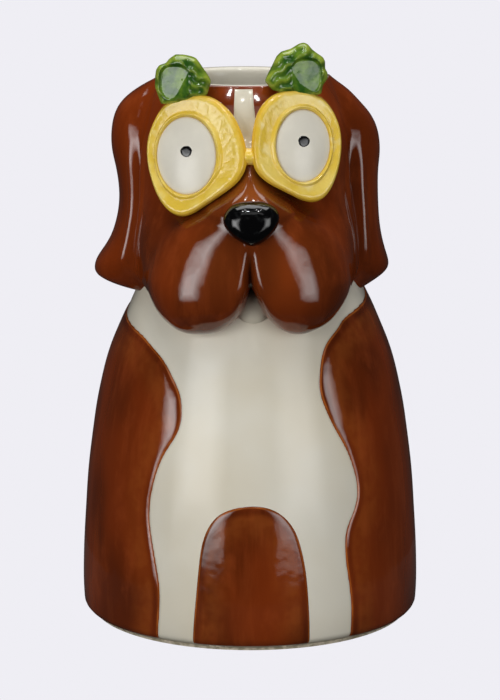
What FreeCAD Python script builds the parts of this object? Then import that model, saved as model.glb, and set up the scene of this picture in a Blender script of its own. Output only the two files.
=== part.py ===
import FreeCAD, Part
import math
import os
import Sketcher

# Dog planter: a seated dog in glazed earthenware with pineapple-slice goggles.
# Millimetres. +Z is up, the dog looks along -Y, and the origin is the middle of the foot on the
# table. Left and right are those of somebody who faces the dog, so left is -X.
# Every piece is cast or pressed by itself and luted on before the firing.

os.makedirs("parts", exist_ok=True)
doc = FreeCAD.newDocument("dog_planter")

Vector = FreeCAD.Vector
Rotation = FreeCAD.Rotation
Placement = FreeCAD.Placement

# The driving dimensions, in millimetres and degrees. Each is written once, here.
SIZES = (
    # clearance between two luted pieces whose faces are curved
    ("gap", 0.3),
    # torso casting
    ("belly_radius", 73.5),
    ("neck_radius", 49.5),
    ("torso_height", 143.0),
    ("wall", 5.6),
    ("floor_thickness", 7.0),
    ("foot_inset", 4.5),
    ("foot_width", 9.0),
    ("foot_height", 1.6),
    ("base_round", 3.0),
    ("drain_radius", 6.0),
    # chest bib and belly arch, which lie in a shallow recess of the torso
    ("coat_relief", 1.2),
    ("bib_thickness", 1.8),
    ("arch_half_width", 25.3),
    ("arch_height", 62.9),
    # head casting and the collar of its mouth
    ("head_height", 91.5),
    ("mouth_radius", 30.5),
    ("collar_thickness", 2.0),
    ("collar_lip", 3.2),
    ("collar_depth", 9.0),
    ("collar_round", 1.2),
    ("skull_radius", 49.0),
    ("head_shift", 2.0),
    ("blaze_thickness", 1.4),
    ("blaze_top_half_width", 4.6),
    ("blaze_foot_half_width", 1.9),
    # snout, jowls and chin: places of the middles, and half sizes
    ("snout_radius", 21.0),
    ("jowl_spread", 21.0),
    ("jowl_radius", 23.4),
    ("jowl_half_height", 31.0),
    ("jowl_splay", 8.0),
    ("chin_height", 19.0),
    ("chin_half_width", 12.0),
    # nose
    ("nose_proud", 4.7),
    ("nose_half_width", 12.0),
    ("nose_half_height", 8.9),
    # ears
    ("ear_half_thickness", 8.4),
    ("ear_half_depth", 20.0),
    ("ear_back", 5.0),
    ("left_ear_flare", 8.0),
    ("right_ear_flare", 2.0),
    # goggles: the plates lean back and turn outwards, and their slices tilt
    ("goggle_yaw", 22.0),
    ("goggle_pitch", 14.0),
    ("goggle_roll", 12.0),
    ("goggle_plate", 20.0),
    ("goggle_round", 2.0),
    ("left_goggle_half_width", 22.1),
    ("left_goggle_half_height", 25.2),
    ("left_goggle_out", 22.6),
    ("right_goggle_half_width", 19.8),
    ("right_goggle_half_height", 23.4),
    ("right_goggle_out", 20.0),
    ("bridge_radius", 5.6),
    # eyes and pupils
    ("left_eye_half_width", 12.2),
    ("left_eye_half_height", 15.6),
    ("left_eye_out", 3.6),
    ("right_eye_half_width", 11.0),
    ("right_eye_half_height", 14.4),
    ("right_eye_out", 2.2),
    ("eye_recess", 0.4),
    ("eye_dome_radius", 38.0),
    ("pupil_radius", 2.35),
    ("pupil_out", 0.6),
    ("pupil_up", 1.6),
    ("pupil_seat", 1.2),
    ("pupil_proud", 0.7),
    ("pupil_round", 0.5),
    # leaf crowns
    ("crown_thickness", 11.0),
    ("left_crown_out", 27.3),
    ("left_crown_height", 21.5),
    ("left_crown_half_width", 12.0),
    ("right_crown_out", 20.8),
    ("right_crown_height", 23.3),
    ("right_crown_half_width", 12.6),
)
# How far up the head a piece's middle, foot or top is, from the neck to the rim.
UP_SHARES = {
    "blaze_foot": 0.678,
    "snout": 0.443,
    "jowl": 0.208,
    "chin": -0.055,
    "nose": 0.424,
    "ear_bottom": 0.016,
    "ear_top": 0.918,
    "left_goggle": 0.699,
    "right_goggle": 0.743,
    "bridge": 0.713,
    "left_crown": 0.923,
    "right_crown": 0.956,
}
# How far forward of the upright axis it is, of the skull radius.
FORWARD_SHARES = {
    "snout": 0.963,
    "jowl": 0.955,
    "chin_front": 1.163,
    "goggle": 0.969,
    "bridge": 1.082,
    "crown_back": 0.673,
}
OVERRUN_SHARE = 0.06  # of the belly radius: how far a cutting tool runs past what it cuts

# Torso and head profiles: share of the height, then share of the way from the narrow end's radius
# to the full radius.
TORSO_SHARES = (
    (0.0, 0.985),
    (0.085, 1.0),
    (0.255, 0.967),
    (0.45, 0.879),
    (0.64, 0.729),
    (0.77, 0.5625),
    (0.895, 0.296),
    (1.0, 0.0),
)
HEAD_SHARES = (
    (0.0, 1.0),
    (0.10, 0.87),
    (0.24, 0.87),
    (0.42, 0.96),
    (0.60, 1.0),
    (0.75, 0.90),
    (0.86, 0.69),
    (0.94, 0.40),
    (1.0, 0.0),
)
# Edges of the chest bib from the foot up: share of the belly radius, then of the neck's height.
BIB_LEFT_SHARES = (
    (-0.537, 0.0),
    (-0.525, 0.14),
    (-0.558, 0.28),
    (-0.585, 0.40),
    (-0.544, 0.525),
    (-0.449, 0.622),
    (-0.411, 0.706),
    (-0.463, 0.794),
    (-0.585, 0.874),
    (-0.721, 0.9125),
    (-0.85, 0.92),
)
BIB_RIGHT_SHARES = (
    (0.584, 0.0),
    (0.588, 0.112),
    (0.558, 0.266),
    (0.567, 0.357),
    (0.620, 0.448),
    (0.578, 0.566),
    (0.469, 0.685),
    (0.415, 0.79),
    (0.449, 0.885),
    (0.558, 0.948),
    (0.694, 0.965),
    (0.85, 0.97),
)
# Half of the belly arch from the foot to its crown: share of the half width, then of the height.
ARCH_SHARES = ((1.0, 0.0), (0.972, 0.32), (0.881, 0.60), (0.73, 0.826), (0.435, 0.959), (0.0, 1.0))
# Half of the nose from its tip to the middle of its top: share of the half width and half height.
NOSE_SHARES = ((0.0, -1.0), (0.42, -0.72), (0.92, -0.12), (0.97, 0.42), (0.62, 0.86), (0.0, 1.0))
NOSE_DOME_SHARE = 1.08  # how much larger than the nose's outline its dome is
# The ear from its tip up: share of the ear's height, of the skull radius outwards, of the flare,
# of the half thickness and of the half depth.
EAR_SHARES = (
    (0.0, 0.975, 1.0, 0.50, 0.44),
    (0.035, 0.985, 1.0, 0.86, 0.76),
    (0.095, 0.995, 1.0, 1.12, 0.98),
    (0.19, 0.995, 0.72, 1.0, 1.05),
    (0.31, 0.985, 0.28, 0.84, 1.02),
    (0.47, 0.985, 0.0, 0.84, 0.96),
    (0.67, 1.0, 0.0, 1.0, 0.88),
    (0.84, 0.965, 0.0, 1.0, 0.74),
    (1.0, 0.885, 0.0, 0.46, 0.46),
)
# A leaf crown's valleys between its lobes, from its left foot over its top to its right foot:
# share of the half width, then of the height.
LEFT_LOBE_SHARES = (
    (-0.80, -0.10),
    (-1.0, 0.45),
    (-0.52, 0.86),
    (0.26, 0.93),
    (0.86, 0.52),
    (0.80, -0.10),
)
RIGHT_LOBE_SHARES = (
    (-0.92, -0.10),
    (-0.86, 0.40),
    (-0.52, 0.74),
    (0.16, 0.93),
    (0.78, 0.70),
    (0.95, 0.34),
    (0.76, -0.10),
)
LOBE_SHARE = 0.16  # how far a lobe swells, of the way between its two valleys
OVAL_END_SHARE = 0.82  # radius of an oval's narrow end, of its half width

sheet = doc.addObject("Spreadsheet::Sheet", "sizes")
for row, (name, value) in enumerate(SIZES, start=1):
    sheet.set(f"A{row}", name)
    sheet.set(f"B{row}", str(value))
    sheet.setAlias(f"B{row}", name)
doc.recompute()


def size(name):
    """A driving dimension's value, for outlines and places that are worked out here."""
    return float(sheet.get(name))


def cell(name):
    """A driving dimension as expressions write it."""
    return f"sizes.{name}"


def up_head(name):
    """The height at which a piece of the head sits."""
    return size("torso_height") + size("head_height") * UP_SHARES[name]


def up_head_cell(name):
    """The same height as expressions write it."""
    return f"({cell('torso_height')} + {cell('head_height')} * {UP_SHARES[name]})"


def forward_cell(name):
    """How far forward a piece of the head sits, as expressions write it."""
    return f"({cell('skull_radius')} * {FORWARD_SHARES[name]})"


def bind(thing, **expressions):
    """Binds properties to expressions. A double underscore in a name stands for a dot."""
    for name, expression in expressions.items():
        thing.setExpression(name.replace("__", "."), expression)
    return thing


def new_sketch(body, name, role):
    """A sketch on one of the body's own origin planes."""
    sketch = body.newObject("Sketcher::SketchObject", name)
    plane = next(f for f in body.Origin.OriginFeatures if f.Role == role)
    sketch.AttachmentSupport = [(plane, "")]
    sketch.MapMode = "FlatFace"
    return sketch


def circle_sketch(body, name, radius, height, across="0"):
    """A level circle; its radius, its height and its place along X are expressions."""
    sketch = new_sketch(body, name, "XY_Plane")
    bind(sketch, AttachmentOffset__Base__x=across, AttachmentOffset__Base__z=height)
    sketch.addGeometry(Part.Circle(Vector(), Vector(0, 0, 1), size("neck_radius")))
    sketch.addConstraint(Sketcher.Constraint("Coincident", 0, 3, -1, 1))
    sketch.addConstraint(Sketcher.Constraint("Radius", 0, size("neck_radius")))
    sketch.renameConstraint(1, "radius")
    sketch.setExpression("Constraints.radius", radius)
    return sketch


def add_loft(body, sections):
    loft = body.newObject("PartDesign::AdditiveLoft", f"{body.Name}_loft")
    loft.Profile = (sections[0], [""])
    loft.Sections = [(section, [""]) for section in sections[1:]]
    return loft


def edge_names(feature, keep):
    """Names of the feature's edges that the test keeps."""
    return [f"Edge{n}" for n, edge in enumerate(feature.Shape.Edges, start=1) if keep(edge)]


def add_fillet(body, feature, keep, radius):
    doc.recompute()
    fillet = body.newObject("PartDesign::Fillet", f"{body.Name}_fillet")
    fillet.Base = (feature, edge_names(feature, keep))
    return bind(fillet, Radius=radius)


def turned_solid(name, side, low, high, base_round=0.0):
    """A solid of revolution about the upright axis, with side as its flank, flat below and above."""
    body = doc.addObject("PartDesign::Body", name)
    sketch = new_sketch(body, f"{name}_profile", "XZ_Plane")
    foot = side[0][0]
    sketch.addGeometry(spline(side))
    for part in chain(side[-1], (0, high), (0, low), (foot - base_round, low)):
        sketch.addGeometry(part)
    if base_round:
        corner = Part.Circle(Vector(foot - base_round, low + base_round, 0), Vector(0, 0, 1), base_round)
        sketch.addGeometry(Part.ArcOfCircle(corner, -math.pi / 2, 0))
    return revolve(body, sketch)


def revolve(body, sketch):
    turned = body.newObject("PartDesign::Revolution", f"{body.Name}_turned")
    turned.Profile = (sketch, [""])
    turned.ReferenceAxis = (sketch, ["V_Axis"])
    turned.Angle = 360
    return body


def torso_solid(name, inset, low, base_round=0.0):
    """The torso's bell, drawn in by inset, from height low up to the neck."""
    neck, high = size("neck_radius"), size("torso_height")
    full = size("belly_radius") - neck
    start = low + base_round
    side = [(neck + full * out - inset, start + (high - start) * up) for up, out in TORSO_SHARES]
    return turned_solid(name, side, low, high, base_round)


def head_solid(name, inset):
    """The head's egg, drawn in by inset, from the neck up to its mouth."""
    low = size("torso_height")
    high = low + size("head_height") - size("collar_lip")
    mouth = size("mouth_radius") + size("wall")
    full = size("skull_radius") - mouth
    side = [(mouth + full * out - inset, low + (high - low) * up) for up, out in HEAD_SHARES]
    body = turned_solid(name, side, low, high)
    return bind(body, Placement__Base__x=f"-{cell('head_shift')}")


def ring_solid(name, outer, inner, low, tall, across="0"):
    """A flat ring, or a disc when inner is not given."""
    body = doc.addObject("PartDesign::Body", name)
    sketch = circle_sketch(body, f"{name}_circles", outer, low, across)
    if inner:
        sketch.addGeometry(Part.Circle(Vector(), Vector(0, 0, 1), size("drain_radius")))
        sketch.addConstraint(Sketcher.Constraint("Coincident", 1, 3, -1, 1))
        sketch.addConstraint(Sketcher.Constraint("Radius", 1, size("drain_radius")))
        sketch.renameConstraint(3, "hole")
        sketch.setExpression("Constraints.hole", inner)
    pad = body.newObject("PartDesign::Pad", f"{name}_pad")
    pad.Profile = (sketch, [""])
    bind(pad, Length=tall)
    return body


def outline_solid(name, curves, length):
    """A prism that runs from the XZ plane towards the front, with an outline of joined curves."""
    body = doc.addObject("PartDesign::Body", name)
    sketch = new_sketch(body, f"{name}_outline", "XZ_Plane")
    for curve in curves:
        sketch.addGeometry(curve)
    pad = body.newObject("PartDesign::Pad", f"{name}_pad")
    pad.Profile = (sketch, [""])
    bind(pad, Length=length)
    return body


def spline(points):
    curve = Part.BSplineCurve()
    curve.interpolate([Vector(x, y, 0) for x, y in points])
    return curve


def chain(*points):
    """Straight lines through the points."""
    pairs = zip(points, points[1:])
    return [Part.LineSegment(Vector(*a, 0), Vector(*b, 0)) for a, b in pairs]


def combine(kind, name, shapes):
    made = doc.addObject(kind, name)
    made.Shapes = shapes
    return made


def common(name, *shapes):
    return combine("Part::MultiCommon", name, list(shapes))


def fuse(name, *shapes):
    return combine("Part::MultiFuse", name, list(shapes))


def cut(name, base, *tools):
    """The base without the tools, which are taken away one after the other."""
    for left, tool in zip(range(len(tools) - 1, -1, -1), tools):
        made = doc.addObject("Part::Cut", f"{name}_before_{left}" if left else name)
        made.Base, made.Tool = base, tool
        base = made
    return base


def oval(half_width, half_height, across=0.0):
    """Four tangent arcs that draw an oval, taller than wide, in a sketch's plane."""
    end_radius = half_width * OVAL_END_SHARE
    rise, run = half_height - end_radius, half_width - end_radius
    aside = (rise**2 - run**2) / (2 * run)
    turn = math.atan2(rise, aside)
    up = Vector(0, 0, 1)
    arcs = []
    for centre, radius, middle, reach in (
        (Vector(across - aside, 0, 0), half_width + aside, 0.0, turn),
        (Vector(across, rise, 0), end_radius, math.pi / 2, math.pi / 2 - turn),
        (Vector(across + aside, 0, 0), half_width + aside, math.pi, turn),
        (Vector(across, -rise, 0), end_radius, -math.pi / 2, math.pi / 2 - turn),
    ):
        arcs.append(Part.ArcOfCircle(Part.Circle(centre, up, radius), middle - reach, middle + reach))
    return arcs


def add_all(sketch, curves):
    for curve in curves:
        sketch.addGeometry(curve)


def ellipse(half_width, half_height):
    """An ellipse in a sketch's plane that runs the same way round whatever its proportions."""
    if half_height > half_width:
        ends = Vector(0, half_height, 0), Vector(-half_width, 0, 0)
    else:
        ends = Vector(half_width, 0, 0), Vector(0, half_height, 0)
    return Part.Ellipse(*ends, Vector())


def spheroid(name, radius, half_height, place, turn=Rotation()):
    """A ball, round seen from above, with its seam at the back. place holds three expressions."""
    body = doc.addObject("PartDesign::Body", name)
    sketch = new_sketch(body, f"{name}_profile", "XZ_Plane")
    start = math.pi if half_height > radius else -math.pi / 2
    sketch.addGeometry(Part.ArcOfEllipse(ellipse(radius, half_height), start, start + math.pi))
    sketch.addGeometry(chain((0, half_height), (0, -half_height))[0])
    revolve(body, sketch)
    body.Placement = Placement(Vector(), turn * Rotation(Vector(0, 0, 1), 90))
    x, y, z = place
    return bind(body, Placement__Base__x=x, Placement__Base__y=y, Placement__Base__z=z)


def named_spheroid(name, prefix, x, turn=Rotation(), grow=0.0):
    """A spheroid whose sizes and place start with the same word in the sheet."""
    radius, half_height = size(f"{prefix}_radius") + grow, size(f"{prefix}_half_height") + grow
    place = (x, f"-{forward_cell(prefix)}", up_head_cell(prefix))
    return spheroid(name, radius, half_height, place, turn)


def ball(name, prefix, clear="0"):
    """A sphere in the middle plane, larger by clear, with its seam at the back."""
    made = doc.addObject("Part::Sphere", name)
    made.Placement = Placement(Vector(), Rotation(Vector(0, 0, 1), 90))
    y, z = f"-{forward_cell(prefix)}", up_head_cell(prefix)
    radius = f"{cell(prefix + '_radius')} + {clear}"
    return bind(made, Radius=radius, Placement__Base__y=y, Placement__Base__z=z)


# Torso casting, with the recess for the chest in its front
gap = cell("gap")
foot_top = size("foot_height")
floor_top = f"({cell('foot_height')} + {cell('floor_thickness')})"
bib_back = size("coat_relief") + size("bib_thickness")
front = f"({cell('belly_radius')} * (1 + {OVERRUN_SHARE}))"

torso_outer = torso_solid("torso_outer", 0.0, foot_top, size("base_round"))
torso_inner = torso_solid("torso_inner", size("wall"), foot_top + size("floor_thickness"))
torso_recess_floor = torso_solid("torso_recess_floor", bib_back + size("gap"), 0.0)
torso_bib_back = torso_solid("torso_bib_back", bib_back, 0.0)
torso_bib_face = torso_solid("torso_bib_face", size("coat_relief"), foot_top, size("base_round"))
torso_grown = torso_solid("torso_grown", -size("gap"), 0.0)


def bib_outline(name, clear):
    """The chest's prism, narrower than its recess by clear."""
    radius, height = size("belly_radius"), size("torso_height")
    foot = size("foot_height") + clear
    rise = height - clear - foot
    left = [(radius * x + clear, foot + rise * z) for x, z in BIB_LEFT_SHARES]
    right = [(radius * x - clear, foot + rise * z) for x, z in BIB_RIGHT_SHARES]
    over = foot + rise
    top = chain(left[-1], (left[-1][0], over), (right[-1][0], over), right[-1])
    return outline_solid(name, [spline(left), *top, spline(right[::-1]), *chain(right[0], left[0])], front)


def arch_outline(name, clear, low):
    """The belly arch's prism, wider than the arch by clear."""
    half, height = size("arch_half_width") + clear, size("arch_height") + clear
    rise = height - low
    side = [(half * x, low + rise * z) for x, z in ARCH_SHARES]
    other = [(-x, z) for x, z in side[-2::-1]]
    return outline_solid(name, [spline(side + other), *chain(other[-1], side[0])], front)


recess_prism = bib_outline("recess_prism", 0.0)
bib_prism = bib_outline("bib_prism", size("gap"))
arch_prism = arch_outline("arch_prism", 0.0, size("foot_height") + size("gap"))
arch_hole_prism = arch_outline("arch_hole_prism", size("gap"), size("foot_height"))

drain_tool = ring_solid("drain_tool", cell("drain_radius"), None, "0", f"{floor_top} * 2")
recess_tool = cut("recess_tool", recess_prism, torso_recess_floor)
torso_shell = cut("torso_shell", torso_outer, torso_inner, drain_tool, recess_tool)

bib_layer = cut("bib_layer", torso_bib_face, torso_bib_back)
bib_panel = common("bib_panel", bib_prism, bib_layer)
chest_bib = cut("chest_bib", bib_panel, arch_hole_prism)
arch_layer = cut("arch_layer", torso_outer, torso_bib_back)
belly_arch = common("belly_arch", arch_prism, arch_layer)

foot_outer = f"({cell('belly_radius')} - {cell('foot_inset')})"
foot_inner = f"({foot_outer} - {cell('foot_width')})"
foot_ring = ring_solid("foot_ring", foot_outer, foot_inner, "0", cell("foot_height"))

# Head casting, its collar and the stripe of its forehead
rim_top = size("torso_height") + size("head_height")
head_top = f"({cell('torso_height')} + {cell('head_height')} - {cell('collar_lip')})"
aside = f"-{cell('head_shift')}"
sleeve_outer = f"({cell('mouth_radius')} + {cell('collar_thickness')})"

head_outer = head_solid("head_outer", 0.0)
head_inner = head_solid("head_inner", size("wall"))
head_grown = head_solid("head_grown", -size("gap"))
head_blaze_back = head_solid("head_blaze_back", size("blaze_thickness"))
head_recess_floor = head_solid("head_recess_floor", size("blaze_thickness") + size("gap"))


def blaze_outline(name, clear):
    """The forehead stripe's prism, narrower than its recess by clear."""
    top_half, foot_half = size("blaze_top_half_width") - clear, size("blaze_foot_half_width") - clear
    low, high = up_head("blaze_foot") + clear, rim_top - size("collar_lip") - clear
    middle = -size("head_shift")
    corners = (
        (middle - top_half, high),
        (middle + top_half, high),
        (middle / 2 + foot_half, low),
        (middle / 2 - foot_half, low),
    )
    return outline_solid(name, chain(*corners, corners[0]), front)


blaze_recess_prism = blaze_outline("blaze_recess_prism", 0.0)
blaze_prism = blaze_outline("blaze_prism", size("gap"))
blaze_recess_tool = cut("blaze_recess_tool", blaze_recess_prism, head_recess_floor)
blaze_layer = cut("blaze_layer", head_outer, head_blaze_back)
forehead_blaze = common("forehead_blaze", blaze_prism, blaze_layer)

socket_tool = ring_solid(
    "socket_tool",
    f"({sleeve_outer} + {gap})",
    None,
    f"({head_top} - {cell('collar_depth')} - {gap})",
    f"({cell('collar_depth')} * 2)",
    aside,
)
head_shell = cut("head_shell", head_outer, head_inner, socket_tool, blaze_recess_tool)

collar_outer = f"({cell('mouth_radius')} + {cell('wall')})"
lip = ring_solid("lip", collar_outer, cell("mouth_radius"), head_top, cell("collar_lip"), aside)
lip_high = rim_top - size("gap")
add_fillet(lip, lip.Tip, lambda edge: edge.BoundBox.ZMin > lip_high, cell("collar_round"))
sleeve = ring_solid(
    "sleeve",
    sleeve_outer,
    cell("mouth_radius"),
    f"({head_top} - {cell('collar_depth')})",
    cell("collar_depth"),
    aside,
)
planting_rim = fuse("planting_rim", lip, sleeve)

# Snout, jowls and chin, luted on the head
snout_blank = ball("snout_blank", "snout")
snout_grown = ball("snout_grown", "snout", gap)
jowl_grown = []
jowl_blanks = []
for side, sign in (("left", -1), ("right", 1)):
    turn = Rotation(Vector(0, 1, 0), -sign * size("jowl_splay"))
    place = f"{sign} * {cell('jowl_spread')}"
    jowl_blanks.append(named_spheroid(f"{side}_jowl_blank", "jowl", place, turn))
    jowl_grown.append(named_spheroid(f"{side}_jowl_grown", "jowl", place, turn, size("gap")))
face_grown = (head_grown, snout_grown, *jowl_grown)


def half_space(name, sign, clear):
    """A box that fills the side of the middle plane that sign names, from clear outwards."""
    box = doc.addObject("Part::Box", name)
    reach = f"({cell('belly_radius')} * 2)"
    bind(box, Length=reach, Width=f"{reach} * 2", Height=f"{reach} * 2")
    start = f"{clear} / 2" if sign > 0 else f"-{reach} - {clear} / 2"
    return bind(box, Placement__Base__x=start, Placement__Base__y=f"-{reach}")


jowls = []
for side, sign, blank in (("left", -1, jowl_blanks[0]), ("right", 1, jowl_blanks[1])):
    sided = common(f"{side}_jowl_half", blank, half_space(f"{side}_half_space", sign, gap))
    jowls.append(cut(f"{side}_jowl", sided, head_grown, torso_grown, snout_grown))
left_jowl, right_jowl = jowls
snout = cut("snout", snout_blank, head_grown)
chin_low = up_head("chin")
chin_high = chin_low + size("chin_height")
chin_corners = (
    (-size("chin_half_width"), chin_low),
    (size("chin_half_width"), chin_low),
    (0, chin_high),
)
chin_blank = outline_solid("chin_blank", chain(*chin_corners, chin_corners[0]), forward_cell("chin_front"))
chin = cut("chin", chin_blank, head_grown, torso_grown, *jowl_grown)

# Nose: a rounded triangle with a domed front, luted on the snout
nose_prism = doc.addObject("PartDesign::Body", "nose_prism")
nose_sketch = new_sketch(nose_prism, "nose_outline", "XZ_Plane")
nose_side = [
    (size("nose_half_width") * x, up_head("nose") + size("nose_half_height") * z)
    for x, z in NOSE_SHARES
]
nose_loop = nose_side + [(-x, z) for x, z in nose_side[-2:0:-1]]
nose_curve = Part.BSplineCurve()
nose_curve.interpolate([Vector(x, z, 0) for x, z in nose_loop], PeriodicFlag=True)
nose_sketch.addGeometry(nose_curve)
nose_pad = nose_prism.newObject("PartDesign::Pad", "nose_pad")
nose_pad.Profile = (nose_sketch, [""])
nose_front = f"({forward_cell('snout')} + {cell('snout_radius')} + {cell('nose_proud')})"
nose_radius, nose_half_height = (
    size(name) * NOSE_DOME_SHARE for name in ("nose_half_width", "nose_half_height")
)
bind(nose_pad, Length=f"{nose_front} * (1 + {OVERRUN_SHARE})")
nose_back = f"({cell('nose_half_width')} * {NOSE_DOME_SHARE} - {nose_front})"
nose_dome = spheroid("nose_dome", nose_radius, nose_half_height, ("0", nose_back, up_head_cell("nose")))
nose_blank = common("nose_blank", nose_prism, nose_dome)
nose = cut("nose", nose_blank, *face_grown)

# Ears, lofted through level ellipses and luted on the sides of the head


def ear_solid(side, sign):
    body = doc.addObject("PartDesign::Body", f"{side}_ear_blank")
    bottom, top = up_head("ear_bottom"), up_head("ear_top")
    sections = []
    for n, (up, out, flared, thick, deep) in enumerate(EAR_SHARES):
        height = bottom + (top - bottom) * up
        reach = size("skull_radius") * out + size(f"{side}_ear_flare") * flared
        middle = Vector(sign * reach - size("head_shift"), size("ear_back"), 0)
        half_depth, half_thick = size("ear_half_depth") * deep, size("ear_half_thickness") * thick
        sketch = new_sketch(body, f"{side}_ear_ring_{n}", "XY_Plane")
        sketch.AttachmentOffset = Placement(Vector(middle.x, middle.y, height), Rotation())
        sketch.addGeometry(ellipse(half_thick, half_depth))
        sections.append(sketch)
    add_loft(body, sections)
    return body


left_ear_blank = ear_solid("left", -1)
right_ear_blank = ear_solid("right", 1)
left_ear = cut("left_ear", left_ear_blank, head_grown, torso_grown)
right_ear = cut("right_ear", right_ear_blank, head_grown, torso_grown)

# Goggles: two slices with a hole for the eye, and the bridge between them


def goggle_turn(sign):
    yaw = Rotation(Vector(0, 0, 1), sign * size("goggle_yaw"))
    pitch = Rotation(Vector(1, 0, 0), -size("goggle_pitch"))
    roll = Rotation(Vector(0, 1, 0), -sign * size("goggle_roll"))
    return yaw * pitch * roll


def slice_solid(name, side, sign, grow, eye_clear, rounded):
    """A slice, wider by grow, with a hole that clears the eye by eye_clear when it is given."""
    half_width = size(f"{side}_goggle_half_width") + grow
    half_height = size(f"{side}_goggle_half_height") + grow
    body = doc.addObject("PartDesign::Body", name)
    sketch = new_sketch(body, f"{name}_outline", "XZ_Plane")
    add_all(sketch, oval(half_width, half_height))
    if eye_clear is not None:
        add_all(sketch, eye_oval(side, sign, eye_clear))
    pad = body.newObject("PartDesign::Pad", f"{name}_pad")
    pad.Profile = (sketch, [""])
    bind(pad, Length=cell("goggle_plate"))
    if rounded:
        front_face = size("gap") - size("goggle_plate")
        add_fillet(body, pad, lambda edge: edge.BoundBox.YMax < front_face, cell("goggle_round"))
    body.Placement = goggle_placement(side, sign)
    return body


def eye_oval(side, sign, clear):
    """The eye's outline in the slice's own plane."""
    half_sizes = [size(f"{side}_eye_half_{way}") + clear for way in ("width", "height")]
    return oval(*half_sizes, across=sign * size(f"{side}_eye_out"))


def goggle_placement(side, sign):
    """Puts the slice's front face at its place on the head."""
    turn = goggle_turn(sign)
    out = sign * size(f"{side}_goggle_out")
    face = Vector(out, -size("skull_radius") * FORWARD_SHARES["goggle"], up_head(f"{side}_goggle"))
    back = turn.multVec(Vector(0, size("goggle_plate"), 0))
    return Placement(face + back, turn)


rims = {}
rims_grown = []
for side, sign in (("left", -1), ("right", 1)):
    grown = slice_solid(f"{side}_slice_grown", side, sign, size("gap"), None, False)
    blank = slice_solid(f"{side}_slice", side, sign, 0.0, size("gap"), True)
    rims_grown.append(grown)
    rims[side] = cut(f"{side}_goggle_rim", blank, *face_grown)
left_goggle_rim, right_goggle_rim = rims["left"], rims["right"]

bridge_blank = ball("bridge_blank", "bridge")
goggle_bridge = cut("goggle_bridge", bridge_blank, *face_grown, *rims_grown)

# Eyes, domed plugs in the slices' holes, and their pupils


def on_slice(side, sign, across, depth, up):
    """A point of the slice: across and up in its plane, depth behind its front face."""
    placement = goggle_placement(side, sign)
    return placement.multVec(Vector(across, depth - size("goggle_plate"), up))


def eye_solid(side, sign):
    body = doc.addObject("PartDesign::Body", f"{side}_eye_plug")
    sketch = new_sketch(body, f"{side}_eye_outline", "XZ_Plane")
    add_all(sketch, eye_oval(side, sign, 0.0))
    pad = body.newObject("PartDesign::Pad", f"{side}_eye_pad")
    pad.Profile = (sketch, [""])
    bind(pad, Length=cell("goggle_plate"))
    body.Placement = goggle_placement(side, sign)
    dome = doc.addObject("Part::Sphere", f"{side}_eye_dome")
    bind(dome, Radius=cell("eye_dome_radius"))
    behind = size("eye_recess") + size("eye_dome_radius")
    dome.Placement = Placement(on_slice(side, sign, sign * size(f"{side}_eye_out"), behind, 0), Rotation())
    return common(f"{side}_eye_blank", body, dome)


def pupil_cylinder(name, side, sign, clear, depth, length):
    """A cylinder along the slice's axis, from depth behind the slice's face towards the front."""
    across = sign * size(f"{side}_eye_out") + size("pupil_out")
    cylinder = doc.addObject("Part::Cylinder", name)
    bind(cylinder, Radius=f"{cell('pupil_radius')} + {clear}")
    cylinder.Height = length
    turn = goggle_turn(sign) * Rotation(Vector(1, 0, 0), 90)
    cylinder.Placement = Placement(on_slice(side, sign, across, depth, size("pupil_up")), turn)
    return cylinder


eyes = {}
pupils = {}
seat_depth = size("eye_recess") + size("pupil_seat")
pupil_length = size("pupil_seat") + size("pupil_proud")
for side, sign in (("left", -1), ("right", 1)):
    blank = eye_solid(side, sign)
    socket = pupil_cylinder(f"{side}_pupil_socket", side, sign, gap, seat_depth, 2 * pupil_length)
    eyes[side] = cut(f"{side}_eye", blank, head_grown, socket)
    button = pupil_cylinder(f"{side}_pupil_blank", side, sign, "0", seat_depth, pupil_length)
    doc.recompute()
    pupils[side] = doc.addObject("Part::Fillet", f"{side}_pupil")
    pupils[side].Base = button
    front_edge = next(
        n
        for n, edge in enumerate(button.Shape.Edges, start=1)
        if len(edge.Vertexes) == 1 and edge.CenterOfMass.y < button.Shape.CenterOfMass.y
    )
    pupils[side].Edges = [(front_edge, size("pupil_round"), size("pupil_round"))]

# Leaf crowns: lobed tufts on top of the slices


def crown(side, sign, lobes):
    height, half_width = size(f"{side}_crown_height"), size(f"{side}_crown_half_width")
    middle, foot = sign * size(f"{side}_crown_out"), up_head(f"{side}_crown")
    valleys = [Vector(middle + half_width * x, foot + height * z, 0) for x, z in lobes]
    curves = []
    for start, end in zip(valleys, valleys[1:]):
        across = end - start
        swell = Vector(-across.y, across.x, 0) * LOBE_SHARE
        curves.append(Part.Arc(start, (start + end) / 2 + swell, end))
    curves.append(Part.LineSegment(valleys[-1], valleys[0]))
    tuft = outline_solid(f"{side}_tuft", curves, cell("crown_thickness"))
    bind(tuft, Placement__Base__y=f"-{forward_cell('crown_back')}")
    return cut(f"{side}_leaf_crown", tuft, head_grown, *rims_grown)


left_leaf_crown = crown("left", -1, LEFT_LOBE_SHARES)
right_leaf_crown = crown("right", 1, RIGHT_LOBE_SHARES)

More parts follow.
